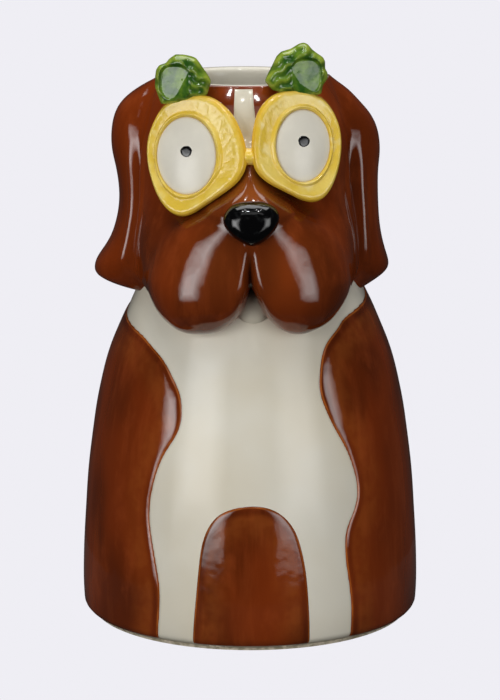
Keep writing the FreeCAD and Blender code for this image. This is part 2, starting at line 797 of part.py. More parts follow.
NODES = {
    "foot_ring": foot_ring,
    "torso_shell": torso_shell,
    "chest_bib": chest_bib,
    "belly_arch": belly_arch,
    "head_shell": head_shell,
    "planting_rim": planting_rim,
    "forehead_blaze": forehead_blaze,
    "snout": snout,
    "left_jowl": left_jowl,
    "right_jowl": right_jowl,
    "chin": chin,
    "nose": nose,
    "left_ear": left_ear,
    "right_ear": right_ear,
    "left_goggle_rim": left_goggle_rim,
    "right_goggle_rim": right_goggle_rim,
    "goggle_bridge": goggle_bridge,
    "left_eye": eyes["left"],
    "right_eye": eyes["right"],
    "left_pupil": pupils["left"],
    "right_pupil": pupils["right"],
    "left_leaf_crown": left_leaf_crown,
    "right_leaf_crown": right_leaf_crown,
}

doc.recompute()
for thing in doc.Objects:
    if "Invalid" in thing.State or "Error" in thing.State:
        raise RuntimeError(f"{thing.Name} is {thing.State}")
for node, thing in NODES.items():
    thing.Label = node
    shape = thing.Shape
    if shape.isNull() or not shape.isValid() or len(shape.Solids) != 1:
        raise RuntimeError(f"{node} has {len(shape.Solids)} solids, valid {shape.isValid()}")
    shape.exportStep(f"parts/{node}.step")
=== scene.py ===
import math

import bmesh
import bpy
import numpy as np
from bpy.props import FloatProperty, FloatVectorProperty, PointerProperty
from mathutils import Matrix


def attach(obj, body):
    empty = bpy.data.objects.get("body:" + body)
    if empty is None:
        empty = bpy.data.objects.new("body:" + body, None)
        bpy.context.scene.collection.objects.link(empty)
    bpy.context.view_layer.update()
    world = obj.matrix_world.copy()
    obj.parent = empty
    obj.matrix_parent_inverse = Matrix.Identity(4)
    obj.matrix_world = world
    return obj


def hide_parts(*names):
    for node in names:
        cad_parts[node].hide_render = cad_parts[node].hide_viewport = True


bl_info = {
    "name": "Dog planter",
    "version": (1, 0, 0),
    "blender": (4, 5, 0),
    "location": "3D View > Sidebar > Dog planter",
    "description": "Builds a glazed earthenware planter shaped like a seated dog in slice goggles",
    "category": "Add Mesh",
}

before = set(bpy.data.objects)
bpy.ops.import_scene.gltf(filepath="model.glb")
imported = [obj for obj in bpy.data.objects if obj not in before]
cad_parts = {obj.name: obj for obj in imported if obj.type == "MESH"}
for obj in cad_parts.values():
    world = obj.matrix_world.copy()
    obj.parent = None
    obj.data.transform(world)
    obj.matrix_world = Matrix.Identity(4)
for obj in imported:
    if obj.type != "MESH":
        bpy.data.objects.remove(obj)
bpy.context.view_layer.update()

# The tables are in millimetres, in the frame's axes: the dog looks along -Y, and left is -X.
MM = 0.001
TURN = 2 * math.pi

# Height of the torso's underside, on the foot ring
UNDERSIDE = 1.6
# Torso: radius at a height, and the borders of its pale chest as (degrees from the front, height)
TORSO_SIDE = (
    (-20, 72.2), (1.4, 73.0), (10, 73.5), (20, 73.5), (29, 73.2), (38, 72.7), (47, 72.1), (56, 71.5),
    (65, 70.7), (74, 69.6), (83.5, 68.3), (92, 67), (101, 65.2), (110, 63.1), (119, 60.3), (128, 56.7),
    (137, 52.9), (143, 50.2), (150, 48),
)
CHEST_LEFT = (
    (-33.2, -8), (-32.9, 0), (-31.8, 14.8), (-31.9, 26.2), (-33.4, 35.3), (-35.6, 46.1), (-36.9, 56.1),
    (-36.0, 68.7), (-34.5, 76.1), (-31.8, 83.6), (-28.5, 90.4), (-27.3, 95), (-27.6, 101.9),
    (-29.8, 108.5), (-34.3, 114.9), (-40.6, 120.9), (-49, 125.3), (-60, 128.7), (-76, 131.2),
    (-95, 134.5), (-112, 141), (-125, 150),
)
CHEST_RIGHT = (
    (36.3, -8), (36.2, 0), (36.2, 12), (35.6, 23.6), (34.5, 33.3), (34.1, 43.6), (35.4, 50.8),
    (38.6, 57.6), (40.5, 65.5), (39.7, 74.5), (37.6, 82.7), (33.7, 92.2), (30.7, 100.9), (29.0, 109.2),
    (30.1, 116.7), (32.4, 123.1), (37.4, 128.7), (45, 133.3), (57, 137.3), (77, 139.9), (92, 143.5),
    (105, 150),
)
# Floor and underside of the torso, with the drain hole: radius, height
FLOOR_SECTION = (
    (50, 8.6), (6.2, 8.6), (6, 8.2), (6, 2), (6.2, UNDERSIDE), (40, UNDERSIDE), (68, UNDERSIDE),
)
# Belly patch: its middle and its outline as places seen from the front
PATCH_MIDDLE = 0.5, 30.0
BELLY_PATCH = (
    (-24.6, 0), (-24.3, 8), (-23.5, 18.4), (-22, 34.5), (-20.5, 45.4), (-17.6, 53.4), (-12.8, 59),
    (-6.1, 62), (1.5, 62.9), (8.2, 61.8), (14, 58.4), (18.8, 52.3), (21.7, 44.3), (23.7, 34.4),
    (24.9, 22.3), (25.5, 10.1), (25.5, 0),
)
# Head casting: radius at a height
HEAD_SIDE = (
    (112, 44.9), (122, 44.9), (132, 44.9), (141, 44.9), (146, 45), (150, 46.2), (154, 47.2), (162, 47.2),
    (170, 47.3), (180, 48), (190, 48.7), (200, 48.8), (207, 48.3), (214, 46.8), (221, 44.3), (227, 41.4),
    (231, 38.8), (234.5, 36.2), (240, 32),
)
HEAD_MIDDLE = -2.2
# Lip of the head: how far beyond the mouth's radius, height
HEAD_LIP = ((3.6, 233.8), (2.4, 232.6), (1.0, 231.5), (1.0, 224.5), (3.5, 220))
# Inside of the head: radius, height
HEAD_INSIDE = ((41.2, 208), (42.6, 196), (41.8, 178), (41.6, 160), (42.4, 146), (43.5, 134), (43.8, 126))
# Collar of the mouth: how far beyond the mouth's radius, height
COLLAR_SECTION = (
    (0, 221.4), (0, 226), (0, 230), (0, 232.3), (0.3, 233.5), (1.0, 234.4), (2.2, 234.9), (4.4, 234.9),
    (5.4, 234.5), (5.8, 233.8), (5.0, 233.1), (2.6, 232.4), (1.2, 231.3), (1.2, 226), (1.2, 222),
    (0.7, 221.4),
)
# Ears: outermost place at a height
LEFT_EAR = (
    (138, 58), (146, 63.4), (148.7, 66.2), (152.1, 67.3), (155.5, 66.4), (159.4, 63.9), (164.4, 60.8),
    (170.6, 58.4), (177.3, 56.9), (183.4, 56.4), (190.1, 56.8), (196.7, 57.9), (202.3, 59.1),
    (208.4, 59.6), (214.4, 59.1), (219.9, 57.5), (224.3, 54.6), (228, 50.4), (232, 44), (236, 36),
)
RIGHT_EAR = (
    (138, 48), (144.6, 53), (148.2, 57), (151.1, 59.4), (154.1, 60), (158.2, 59), (164.7, 57.2),
    (171.7, 56), (179.3, 55.4), (188.1, 55.1), (196.2, 55.3), (202.6, 55.8), (207.2, 55.6), (214.2, 53.9),
    (219.4, 50.9), (224, 46.9), (228.6, 42.4), (232, 38), (236, 32),
)
# Slant that cuts an ear's lower end off: slope, height, place across
EAR_CUTS = {-1: (0.24, 147.6, 66.0), 1: (0.55, 149.6, 59.1)}
# Half thickness and half depth of an ear at a height
EAR_THICK = ((138, 13), (150, 16), (160, 15), (175, 13.5), (200, 14), (215, 13), (228, 9), (236, 6))
EAR_DEEP = (
    (138, 12), (145, 15), (152, 18), (162, 20.5), (175, 21), (195, 20), (210, 18.5), (221, 15), (229, 10),
    (236, 5),
)
# Muzzle: each half's outer reach, its foremost place and its inner reach from the middle at a height
LEFT_JOWL = (
    (132, 25.5, 22, 18.5), (133.2, 30, 21.5, 13.5), (136, 35.4, 20, 8), (140, 39.4, 17, 3.6),
    (146, 42.6, 12.5, 0.6), (150, 44, 10, -0.6), (155, 44.6, 7.5, -1.6), (160, 44, 6, -1.6),
    (165, 43, 4.6, -2), (172, 40.5, 3, -4), (178, 36, 0.5, -12), (182, 29.5, 0, -20), (185, 24, 0, -21),
    (188.5, 17.5, 0, -17), (192, 11.7, 0, -11.7), (196, 6.6, 0, -6.6), (200, 3.6, 0, -3.6),
    (206, 2.5, 0, -2.5),
)
RIGHT_JOWL = (
    (132.4, 23.5, 20, 17.5), (134.2, 28.5, 19.5, 13.2), (136.8, 34, 18.5, 9.2), (140.6, 38, 16, 5.6),
    (146.4, 41.5, 12.5, 2.6), (150.5, 42.8, 10, 0.8), (155.5, 43.4, 7.5, -1), (160, 43, 6, -1.6),
    (165, 42, 4.6, -2), (172, 39.5, 3, -4), (178, 35, 0.5, -12), (182, 29, 0, -20), (185, 23.5, 0, -21),
    (188.5, 17, 0, -17), (192, 11.5, 0, -11.5), (196, 6.6, 0, -6.6), (200, 3.6, 0, -3.6),
    (206, 2.5, 0, -2.5),
)
MUZZLE_FRONT = (
    (132, 53), (134, 58.5), (138, 64.5), (143, 68.5), (150, 70.4), (160, 70), (170, 68.6), (178, 68),
    (185, 67), (190, 64), (195, 59), (200, 53.5), (206, 48.5), (212, 44),
)
MUZZLE_BACK, MUZZLE_TOP = -22.0, 211
# Folds before the ears: turn from the front. Cheeks: middle, half sizes, height where they end
CREASE_TURN = math.radians(66.5)
CHEEKS = {-1: ((-25, -20, 163), (23, 29, 37)), 1: ((22, -20, 164), (22.5, 29, 37))}
CHEEK_FOOT = 151.5
# Outlines of the goggles' slices and of the nose, seen from the front
LEFT_SLICE = (
    (-35.6, 229), (-39.9, 221.7), (-42.2, 215.8), (-43, 209.1), (-42.3, 202), (-40.1, 193.8),
    (-36.8, 186.7), (-33.5, 182.9), (-29.8, 181.2), (-26.1, 181.8), (-21.6, 184.8), (-16, 188.5),
    (-10.5, 192.3), (-5.6, 196), (-3, 199.8), (-1.7, 203.5), (-2.3, 211), (-4.5, 218), (-7.8, 224.7),
    (-12.2, 229.1), (-16.7, 232.1), (-21.9, 232.9), (-26, 232.4), (-30.7, 231),
)
RIGHT_SLICE = (
    (1.2, 210.7), (1.8, 218), (3.7, 225.6), (6.7, 229.9), (10.7, 233.2), (14.3, 234.2), (18.9, 234.5),
    (24.5, 233.9), (29.1, 231.9), (32.1, 229.3), (35.4, 224.3), (37.4, 219), (38.1, 213.4), (37.8, 206.7),
    (36.5, 200.1), (34.2, 193.7), (32, 189.9), (29.6, 187.9), (24.7, 187.5), (21.4, 189), (15.7, 192),
    (10.1, 194.7), (6.8, 196.7), (3.4, 199.7), (1.8, 203.1),
)
NOSE_OUTLINE = (
    (-11.4, 184.3), (-7.8, 189.1), (-2.3, 190.6), (5.1, 190.6), (10.1, 188.6), (12.2, 185.8),
    (12.1, 182.8), (10.1, 178.6), (6.4, 175.1), (3.2, 173.1), (-0.1, 172.6), (-3.5, 174.2), (-7.8, 177),
    (-10.6, 180.6),
)
# Nose: its middle, depths there and at its back, how far its face bulges
NOSE_MIDDLE = (0.4, 182.6)
NOSE_DEPTH, NOSE_BACK, NOSE_DOME = -66.4, -58.4, 7.2
# Eyes: middle, half sizes. Pupils: middle
EYES = {-1: ((-26.5, 207.2), (11.5, 15.5)), 1: ((22.1, 211.4), (10.4, 14.4))}
PUPILS = {-1: (-25.8, 208.7), 1: (21.7, 212.9)}
# Rings of the slices: height of the bead at a share of the way from the eye to the rim
SLICE_SECTION = (
    (0.0, -0.6), (0.03, 0.2), (0.07, 0.8), (0.12, 1.1), (0.17, 0.85), (0.22, 0.35), (0.3, 0.2), (0.45, 0.4),
    (0.6, 0.65), (0.72, 0.85), (0.82, 0.8), (0.9, 0.4), (0.96, -0.4), (1.0, -1.9),
)
# Radius of the head where the slices' walls meet it
HEAD_SEAT = 45.2
# Plates that the goggles lie on: a place, then the slopes outwards and upwards
PLATES = {-1: ((-22.6, -49.0, 207.0), 0.36, 0.27), 1: ((20.0, -49.0, 211.0), 0.36, 0.27)}
# Bridge of the goggles and chin: middle, half sizes
BRIDGE = (-0.3, -51.0, 207.2), (5.2, 5.0, 4.6)
CHIN = (1.2, -49.6, 144.5), (8.5, 6, 8)
# Forehead stripe: its ends, its half width at a share of the way between two heights, its middle
STRIPE_ENDS = 207.5, 234.0
STRIPE_SPAN = 203, 233.4
STRIPE_HALF = ((0, 1.6), (0.25, 2.9), (0.5, 4.5), (0.75, 4.4), (1, 3.9))
STRIPE_MIDDLE = -2.1, 220.8
# Leaf crowns: outline seen from the front, middle, middle of the flat leaf
LEFT_CROWN = (
    ((-36.8, 228.2), (-38, 231.6), (-39.3, 235.2), (-39.2, 239.5), (-38.8, 242.5), (-37.5, 244.4),
     (-34.7, 245.3), (-33.3, 247.1), (-30.7, 248.9), (-27.2, 248.8), (-24, 248.1), (-22.2, 247.3),
     (-20.9, 245.6), (-19.1, 242.9), (-16.9, 239.7), (-15.9, 237.5), (-16.9, 234.9), (-17.6, 232.2),
     (-23, 230.5), (-30, 228.8)),
    (-28, 238.8), (-31, 237.6),
)
RIGHT_CROWN = (
    ((9, 234.1), (7.4, 236.2), (5.9, 237.7), (7.6, 241.3), (9.2, 244.5), (10.9, 248.1), (12.8, 250),
     (16.8, 251.2), (20.2, 253.3), (22.1, 253.8), (23.8, 253.1), (25.7, 250.8), (28, 249.1),
     (30.1, 247.7), (31, 246), (31, 243), (32.1, 241.1), (32, 238.6), (30.2, 236.2), (29.5, 232.4),
     (23, 231.5), (15.5, 232.4)),
    (20, 241.8), (23.2, 240.2),
)
# Depths of a crown's face before it bulges, of its back, and where its outline is taken to lie
LEAF_FRONT, LEAF_BACK, LEAF_SEEN = -39.0, -33.5, -42.0
# How fast the flat leaf falls away outwards
LEAF_SLOPES = {-1: 0.36, 1: 0.27}
SIDES = ((-1, "left"), (1, "right"))
# Where the photograph's outlines were read: the camera's place and the depth that they lie at
CAMERA_DEPTH, CAMERA_UP, READ_DEPTH = -1275.0, 383.5, -48.0
# Studio, in metres: place of the right soft box, which the left mirrors, panels of both, small lamps
BOX_PLACE = 0.95, -1.25, 0.32
BOX_PANELS = ((1.04, 1.1), (0.84, 0.92), (0.64, 0.74), (0.44, 0.56))
SPARKS = ((-0.27, -0.46), (-0.15, -0.3), (-0.05, -0.56), (0.1, -0.36), (0.2, -0.54), (0.28, -0.32))


def smooth(points):
    """The even curve through (at, value) points, as a function of at."""
    at, value = np.array(points, float).T
    step = np.diff(at)
    slope = np.diff(value) / step
    system = np.diag(np.r_[1, 2 * (step[:-1] + step[1:]), 1])
    for n in range(1, len(step)):
        system[n, n - 1], system[n, n + 1] = step[n - 1], step[n]
    bend = np.linalg.solve(system, np.r_[0, 6 * np.diff(slope), 0])

    def read(x):
        x = np.clip(x, at[0], at[-1])
        n = np.clip(np.searchsorted(at, x) - 1, 0, len(step) - 1)
        after, before, run = x - at[n], at[n + 1] - x, step[n]
        return (
            (bend[n] * before**3 + bend[n + 1] * after**3) / (6 * run)
            + (value[n] / run - bend[n] * run / 6) * before
            + (value[n + 1] / run - bend[n + 1] * run / 6) * after
        )

    return read


def rounded_loop(points, middle, blur):
    """A loop's distance from its middle as a function of direction, blurred over some degrees."""
    shut = np.array([*points, points[0]], float)
    line = np.concatenate([np.linspace(a, b, 40, endpoint=False) for a, b in zip(shut, shut[1:])])
    across, up = (line - middle).T
    steps = 1440
    turns = np.arange(steps) * TURN / steps
    around = np.array(sorted(zip(np.arctan2(up, across) % TURN, np.hypot(across, up)))).T
    reach = np.interp(turns, *around, period=TURN)
    waves = np.fft.rfft(reach) * np.exp(-((np.arange(steps // 2 + 1) * math.radians(blur)) ** 2) / 2)
    even = np.fft.irfft(waves)
    return lambda at: np.interp(np.asarray(at, float) % TURN, turns, even, period=TURN)


torso_radius = smooth(TORSO_SIDE)
head_radius = smooth(HEAD_SIDE)
chest_left = smooth([(z, turn) for turn, z in CHEST_LEFT])
chest_right = smooth([(z, turn) for turn, z in CHEST_RIGHT])


def places(*parts):
    """Coordinates put together, each spread to the shape of the largest."""
    return np.stack(np.broadcast_arrays(*parts), -1)


def hill(*shares):
    """1 where each share is 0, and less the further they are from it."""
    return np.exp(-sum(share**2 for share in shares))


def blend_in(a, b, soft):
    """The lower of two distances, with a fillet of that softness where they meet."""
    share = np.clip(0.5 + 0.5 * (b - a) / soft, 0, 1)
    return b * (1 - share) + a * share - soft * share * (1 - share)


def keep_in(a, b, soft):
    return -blend_in(-a, -b, soft)


def swelling(at, middle, half):
    """Signed distance from an ellipsoid, near enough."""
    share = (at - np.array(middle)) / half
    out = np.linalg.norm(share, axis=-1)
    return out * (out - 1) / np.maximum(np.linalg.norm(share / half, axis=-1), 1e-9)


def first_face(inside, start, way, far, near, step=1.5):
    """The outermost place on each ray where it meets the form, or near where it doesn't."""
    reach = np.full(start.shape[:-1], float(far))
    open_rays = np.ones(reach.shape, bool)
    for out in np.arange(far, near, -step):
        rays = np.nonzero(open_rays)
        if not len(rays[0]):
            break
        hit = inside(start[rays] + way[rays] * out) < 0
        reach[tuple(r[hit] for r in rays)] = out
        open_rays[tuple(r[hit] for r in rays)] = False
    reach[open_rays] = near
    low, high = reach.copy(), reach + step
    for _ in range(9):
        middle = (low + high) / 2
        within = inside(start + way * middle[..., None]) < 0
        low, high = np.where(within, middle, low), np.where(within, high, middle)
    return np.where(open_rays, near, (low + high) / 2)


def border_distance(across, up, line):
    """Signed distance of places from a smooth line of points: positive on its right-hand side."""
    line = np.asarray(line)
    along = np.gradient(line, axis=0)
    along /= np.linalg.norm(along, axis=-1, keepdims=True)
    found = []
    seen = places(np.ravel(across), np.ravel(up))
    for part in np.array_split(seen, max(1, len(seen) // 4000)):
        nearest = ((part[:, None] - line[None]) ** 2).sum(-1).argmin(1)
        off = part - line[nearest]
        side = off[:, 0] * along[nearest, 1] - off[:, 1] * along[nearest, 0]
        found.append(np.where(side < 0, -1, 1) * np.maximum(np.abs(side), np.linalg.norm(off, axis=-1) * 0.2))
    return np.concatenate(found).reshape(np.shape(across))


# Meshes: grids welded into tubes and lenses, whose vertices are then moved into place


def wrapped_grid(rows, columns, number):
    """A grid of rows and columns of squares, welded where number gives two vertices the same place
    in the order. Its vertices end up in that order."""
    bm = bmesh.new()
    order = bm.verts.layers.int.new("order")
    bmesh.ops.create_grid(bm, x_segments=columns, y_segments=rows, size=1)
    first, double = {}, {}
    for vert in bm.verts:
        column, row = (round((share + 1) / 2 * count) for share, count in zip(vert.co, (columns, rows)))
        vert[order] = number(row, column % columns)
        if first.setdefault(vert[order], vert) != vert:
            double[vert] = first[vert[order]]
    bmesh.ops.weld_verts(bm, targetmap=double)
    bm.verts.sort(key=lambda vert: vert[order])
    bm.verts.layers.int.remove(order)
    return bm


def ring_tube(rows, columns):
    """A closed tube of rows rings, numbered ring by ring."""
    return wrapped_grid(rows, columns, lambda row, column: row % rows * columns + column)


def lens(rows, columns):
    """A closed lens from pole to pole with rows rings between, numbered ring by ring."""
    poles = (0, rows + 1)
    return wrapped_grid(rows + 1, columns, lambda row, column: row * columns + column * (row not in poles))


def set_places(bm, grid):
    for vert, place in zip(bm.verts, np.asarray(grid).reshape(-1, 3) * MM):
        vert.co = place


def on_lens(front, middle, back):
    """Places for a lens: one pole, the rings, the other pole."""
    return np.concatenate([np.reshape(front, (1, 3)), np.reshape(middle, (-1, 3)), np.reshape(back, (1, 3))])


def unit_ball(around, up):
    """A ball of radius 1, and the places of its vertices."""
    bm = bmesh.new()
    bmesh.ops.create_uvsphere(bm, u_segments=around, v_segments=up, radius=1)
    return bm, np.array([vert.co for vert in bm.verts])


def on_rings(middle, rings, reach, turns):
    """Places seen from the front on rings, each a share of the outline that reach gives."""
    way = places(np.cos(turns), np.sin(turns))
    return np.array(middle) + rings[:, None, None] * reach[None, :, None] * way


def fired(bm, name, glaze, nodes, marks=None):
    """Makes the mesh a glazed object that rides on the frame and stands for its nodes."""
    bmesh.ops.recalc_face_normals(bm, faces=bm.faces)
    mesh = bpy.data.meshes.new(name)
    bm.to_mesh(mesh)
    bm.free()
    mesh.shade_smooth()
    for word, values in (marks or {}).items():
        mesh.attributes.new(word, "FLOAT", "POINT").data.foreach_set("value", np.ravel(values).astype(float))
    mesh.materials.append(once(glaze))
    piece = bpy.data.objects.new(name, mesh)
    bpy.context.scene.collection.objects.link(piece)
    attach(piece, "root")
    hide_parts(*nodes)


def pressed(name, glaze, node, face, back, poles, marks=None, at_poles=0.0):
    """Makes a lens of a face and a back, which get the same marks."""
    bm = lens(2 * len(face), face.shape[1])
    set_places(bm, on_lens(poles[0], np.concatenate([face, back[::-1]]), poles[1]))
    both = {}
    for word, values in (marks or {}).items():
        both[word] = np.r_[at_poles, values.ravel(), values[::-1].ravel(), at_poles]
    fired(bm, name, glaze, [node], both)


def front_turns(columns, crease=0.0):
    """Directions round the upright axis, closer together in front and, if asked, at the creases."""
    at = np.linspace(-math.pi, math.pi, 4001)
    density = 1 + 0.4 * np.cos(at) + crease * hill((np.abs(at) - CREASE_TURN) / 0.13)
    passed = np.r_[0, np.cumsum((density[1:] + density[:-1]) / 2)]
    return np.interp(np.arange(columns) / columns, passed / passed[-1], at)


def round_axis(turn, radius, height, middle=0.0):
    return places(middle + radius * np.sin(turn), -radius * np.cos(turn), height)


# Shader maths


class Wire:
    """A shader socket on which Python's operators work."""

    def __init__(self, nodes, socket):
        self.nodes, self.socket = nodes, socket

    def maths(self, operation, *others):
        return self.nodes.node("ShaderNodeMath", {"operation": operation}, dict(enumerate((self, *others))))

    def __add__(self, other):
        return self.maths("ADD", other)

    def __sub__(self, other):
        return self.maths("SUBTRACT", other)

    def __rsub__(self, other):
        return self * -1.0 + other

    def __mul__(self, other):
        return self.maths("MULTIPLY", other)

    __radd__ = __add__
    __rmul__ = __mul__

    def ramp(self, low, high):
        """0 below low and 1 above high, with a soft step between. Low may be the larger."""
        settings = {"interpolation_type": "SMOOTHSTEP"}
        ends = {1: low, 2: high} if low < high else {1: high, 2: low, 3: 1.0, 4: 0.0}
        return self.nodes.node("ShaderNodeMapRange", settings, {0: self, **ends})


class Nodes:
    """A world's or a material's node tree under construction."""

    def __init__(self, owner):
        owner.use_nodes = True
        self.tree = owner.node_tree
        self.tree.nodes.clear()

    def node(self, kind, settings, values, output=0):
        made = self.tree.nodes.new(kind)
        for word, value in settings.items():
            setattr(made, word, value)
        for word, value in values.items():
            self.feed(made.inputs[word], value)
        return Wire(self, made.outputs[output])

    def feed(self, socket, value):
        if isinstance(value, Wire):
            self.tree.links.new(value.socket, socket)
        else:
            socket.default_value = value

    def end(self, kind, shader):
        self.feed(self.tree.nodes.new(kind).inputs[0], shader)


class Glaze(Nodes):
    """A material under construction."""

    def __init__(self, name, **finish):
        self.material = bpy.data.materials.new(name)
        super().__init__(self.material)
        values = {word.replace("_", " "): value for word, value in finish.items()}
        self.body = self.node("ShaderNodeBsdfPrincipled", {}, values)

    def place(self):
        return self.node("ShaderNodeTexCoord", {}, {}, "Object")

    def height(self):
        return self.node("ShaderNodeSeparateXYZ", {}, {0: self.place()}, 2)

    def mark(self, word):
        return self.node("ShaderNodeAttribute", {"attribute_name": word}, {}, "Fac")

    def cloud(self, width, detail=3.0, stretch=(1, 1, 1), rough=0.5, shift=(0, 0, 0)):
        """Noise whose patches are about that many metres wide."""
        values = {"Vector": self.place(), "Scale": stretch, "Location": shift}
        spread = self.node("ShaderNodeMapping", {}, values)
        values = {"Vector": spread, "Scale": 0.5 / width, "Detail": detail, "Roughness": rough}
        return self.node("ShaderNodeTexNoise", {}, values, "Fac")

    def mix(self, share, *ends):
        """The first colour where share is 0 and the second where it is 1. A word names a set colour."""
        hues = bpy.context.scene.dog_glazes
        a, b = (opaque(getattr(hues, end)) if isinstance(end, str) else end for end in ends)
        return self.node("ShaderNodeMix", {"data_type": "RGBA"}, {0: share, 6: a, 7: b}, 2)

    def finish(self, tint, roughness, uneven, depth):
        inputs = self.body.socket.node.inputs
        self.feed(inputs["Base Color"], tint)
        self.feed(inputs["Roughness"], roughness)
        values = {"Height": uneven, "Distance": depth, "Strength": 1.0}
        self.feed(inputs["Normal"], self.node("ShaderNodeBump", {}, values))
        self.end("ShaderNodeOutputMaterial", self.body)
        return self.material


def colour(red, green, blue):
    """A colour as eight-bit display values, made linear."""
    def linear(value):
        value /= 255
        return value / 12.92 if value <= 0.04045 else ((value + 0.055) / 1.055) ** 2.4
    return linear(red), linear(green), linear(blue)


def opaque(value):
    return (*value, 1.0)


def once(make):
    """The material that make makes, made the first time it is asked for."""
    name = f"fired_{make.__name__}"
    return bpy.data.materials.get(name) or make(name)


# Height below which the glaze is wiped off the foot, in metres
FOOT_EDGE = 0.0030, 0.0020


def brown_glaze(name):
    g = Glaze(name, IOR=1.55)
    broad = g.cloud(0.018, 2.0, (1, 1, 0.5)).ramp(0.38, 0.62)
    strokes = g.cloud(0.0055, 5.0, (1, 1, 0.14), 0.62).ramp(0.47, 0.74)
    smears = g.cloud(0.009, 4.0, (1, 1, 0.6), 0.6, (3, 1, 2)).ramp(0.52, 0.74)
    made = g.mix(broad, "brown_deep", "brown")
    made = g.mix(strokes * 0.42, made, "brown_light")
    made = g.mix(smears * 0.45, made, "brown_light")
    made = g.mix(g.mark("pooled"), made, "brown_pooled")
    border = g.mark("border")
    patchy = 0.35 + 0.65 * g.cloud(0.004, 2.0).ramp(0.35, 0.65)
    line = (border - 0.55).maths("ABSOLUTE").ramp(0.5, 0.1) * patchy
    made = g.mix(border.ramp(0.6, 2.0) * border.ramp(4.0, 2.2) * 0.14, made, "brown_pooled")
    made = g.mix(border.ramp(2.0, 5.0) * border.ramp(18.0, 6.0) * 0.28 * patchy, made, "amber")
    # Amber where the glaze thins at the coat's borders and over bulges, and a painted highlight on the
    # snout's top and the jowls' fronts
    made = g.mix((line + g.mark("thin_glaze_and_painted_light")).maths("MINIMUM", 1.0), made, "amber")
    made = g.mix(g.mark("inside"), made, "cream")
    made = g.mix(g.height().ramp(*FOOT_EDGE), made, "bare")
    rough = 0.05 + g.cloud(0.012, 2.0) * 0.07
    uneven = g.cloud(0.006, 2.0) * 0.7 + g.cloud(0.0012, 2.0) * 0.05
    return g.finish(made, rough, uneven, 0.00035)


def cream_glaze(name):
    g = Glaze(name, IOR=1.36)
    broad = g.cloud(0.03, 3.0).ramp(0.35, 0.65)
    specks = g.cloud(0.0011, 2.0, (1, 1, 1), 0.5, (5, 2, 1)).ramp(0.70, 0.78)
    made = g.mix(broad, "cream", "cream_light")
    made = g.mix(specks * 0.10, made, "bare")
    # Stained beside the brown, darker over the forehead stripe, and painted shadow on the chin's top
    made = g.mix(g.mark("thin_glaze_and_painted_light"), made, "cream_stain")
    made = g.mix(g.height().ramp(*FOOT_EDGE), made, "bare")
    uneven = g.cloud(0.014, 2.0) + g.cloud(0.0014, 2.0) * 0.03
    return g.finish(made, 0.08 + g.cloud(0.012, 2.0) * 0.06, uneven, 0.00035)


def yellow_glaze(name):
    g = Glaze(name, IOR=1.5)
    broad = g.cloud(0.006, 3.0).ramp(0.38, 0.66)
    # Pale flecks: partly the glaze's own mottling, partly painted highlights
    pale = g.cloud(0.0035, 3.0, (1, 1, 1), 0.5, (2, 7, 1)).ramp(0.56, 0.72)
    made = g.mix(broad, "yellow", "yellow_light")
    made = g.mix(pale * 0.75, made, "yellow_pale")
    made = g.mix(g.mark("pooled"), made, "yellow_deep")
    uneven = g.cloud(0.0030, 3.0) + g.cloud(0.0012, 2.0) * 0.15
    return g.finish(made, 0.07 + g.cloud(0.004, 2.0) * 0.10, uneven, 0.0006)


def green_glaze(name):
    g = Glaze(name, IOR=1.5)
    broad = g.cloud(0.0030, 3.0).ramp(0.35, 0.65)
    made = g.mix(broad, "green_deep", "green")
    made = g.mix(g.mark("thin_glaze_and_painted_light"), made, "green_light")
    made = g.mix(g.mark("pooled"), made, "green_pooled")
    return g.finish(made, 0.12 + g.cloud(0.003, 2.0) * 0.10, g.cloud(0.0026, 2.0), 0.00035)


def white_glaze(name):
    g = Glaze(name, IOR=1.38)
    made = g.mix(g.cloud(0.008, 3.0).ramp(0.35, 0.65), "white", "cream_light")
    made = g.mix(g.mark("pooled"), made, "yellow_deep")
    return g.finish(made, 0.14 + g.cloud(0.006, 2.0) * 0.08, g.cloud(0.006, 2.0), 0.0003)


def black_glaze(name):
    g = Glaze(name, IOR=1.5)
    # Grey speckles over the black glaze
    made = g.mix(g.cloud(0.0012, 4.0).ramp(0.52, 0.70) * 0.5, "black", "black_worn")
    return g.finish(made, 0.06 + g.cloud(0.004, 2.0) * 0.08, g.cloud(0.004, 2.0), 0.0003)


def bare_clay(name):
    g = Glaze(name)
    made = g.mix(g.cloud(0.0015, 4.0).ramp(0.35, 0.65), "bare", "cream_stain")
    return g.finish(made, 0.75 + g.cloud(0.001, 2.0) * 0.2, g.cloud(0.0006, 3.0), 0.0002)


# Settings


def number(name, text, value, **more):
    return FloatProperty(name=name, description=text, default=value, **more)


def length(name, text, millimetres):
    return number(name, text, millimetres * MM, unit="LENGTH")


def hue(name, text, *display):
    value = colour(*display)
    return FloatVectorProperty(name=name, description=text, default=value, subtype="COLOR", min=0, max=1)


def size(word):
    """A set length in millimetres."""
    return getattr(bpy.context.scene.dog_sizes, word) / MM


class DogSizes(bpy.types.PropertyGroup):
    coat_relief: length("Coat relief", "How far the brown coat stands above the pale chest", 0.6)
    shoulder_relief: length("Shoulder relief", "How much more it stands out below the muzzle", 2.8)
    wall: length("Wall", "Thickness of the casting", 5.6)
    mouth_radius: length("Mouth radius", "Inner radius of the mouth in the head", 30.5)
    fillet: length("Fillet", "How softly the ears and the muzzle run into the head", 2.5)
    slice_bead: length("Slice bead", "Height of the raised rings on the goggles", 0.9)
    eye_dome: length("Eye dome", "How far an eye bulges", 2.4)


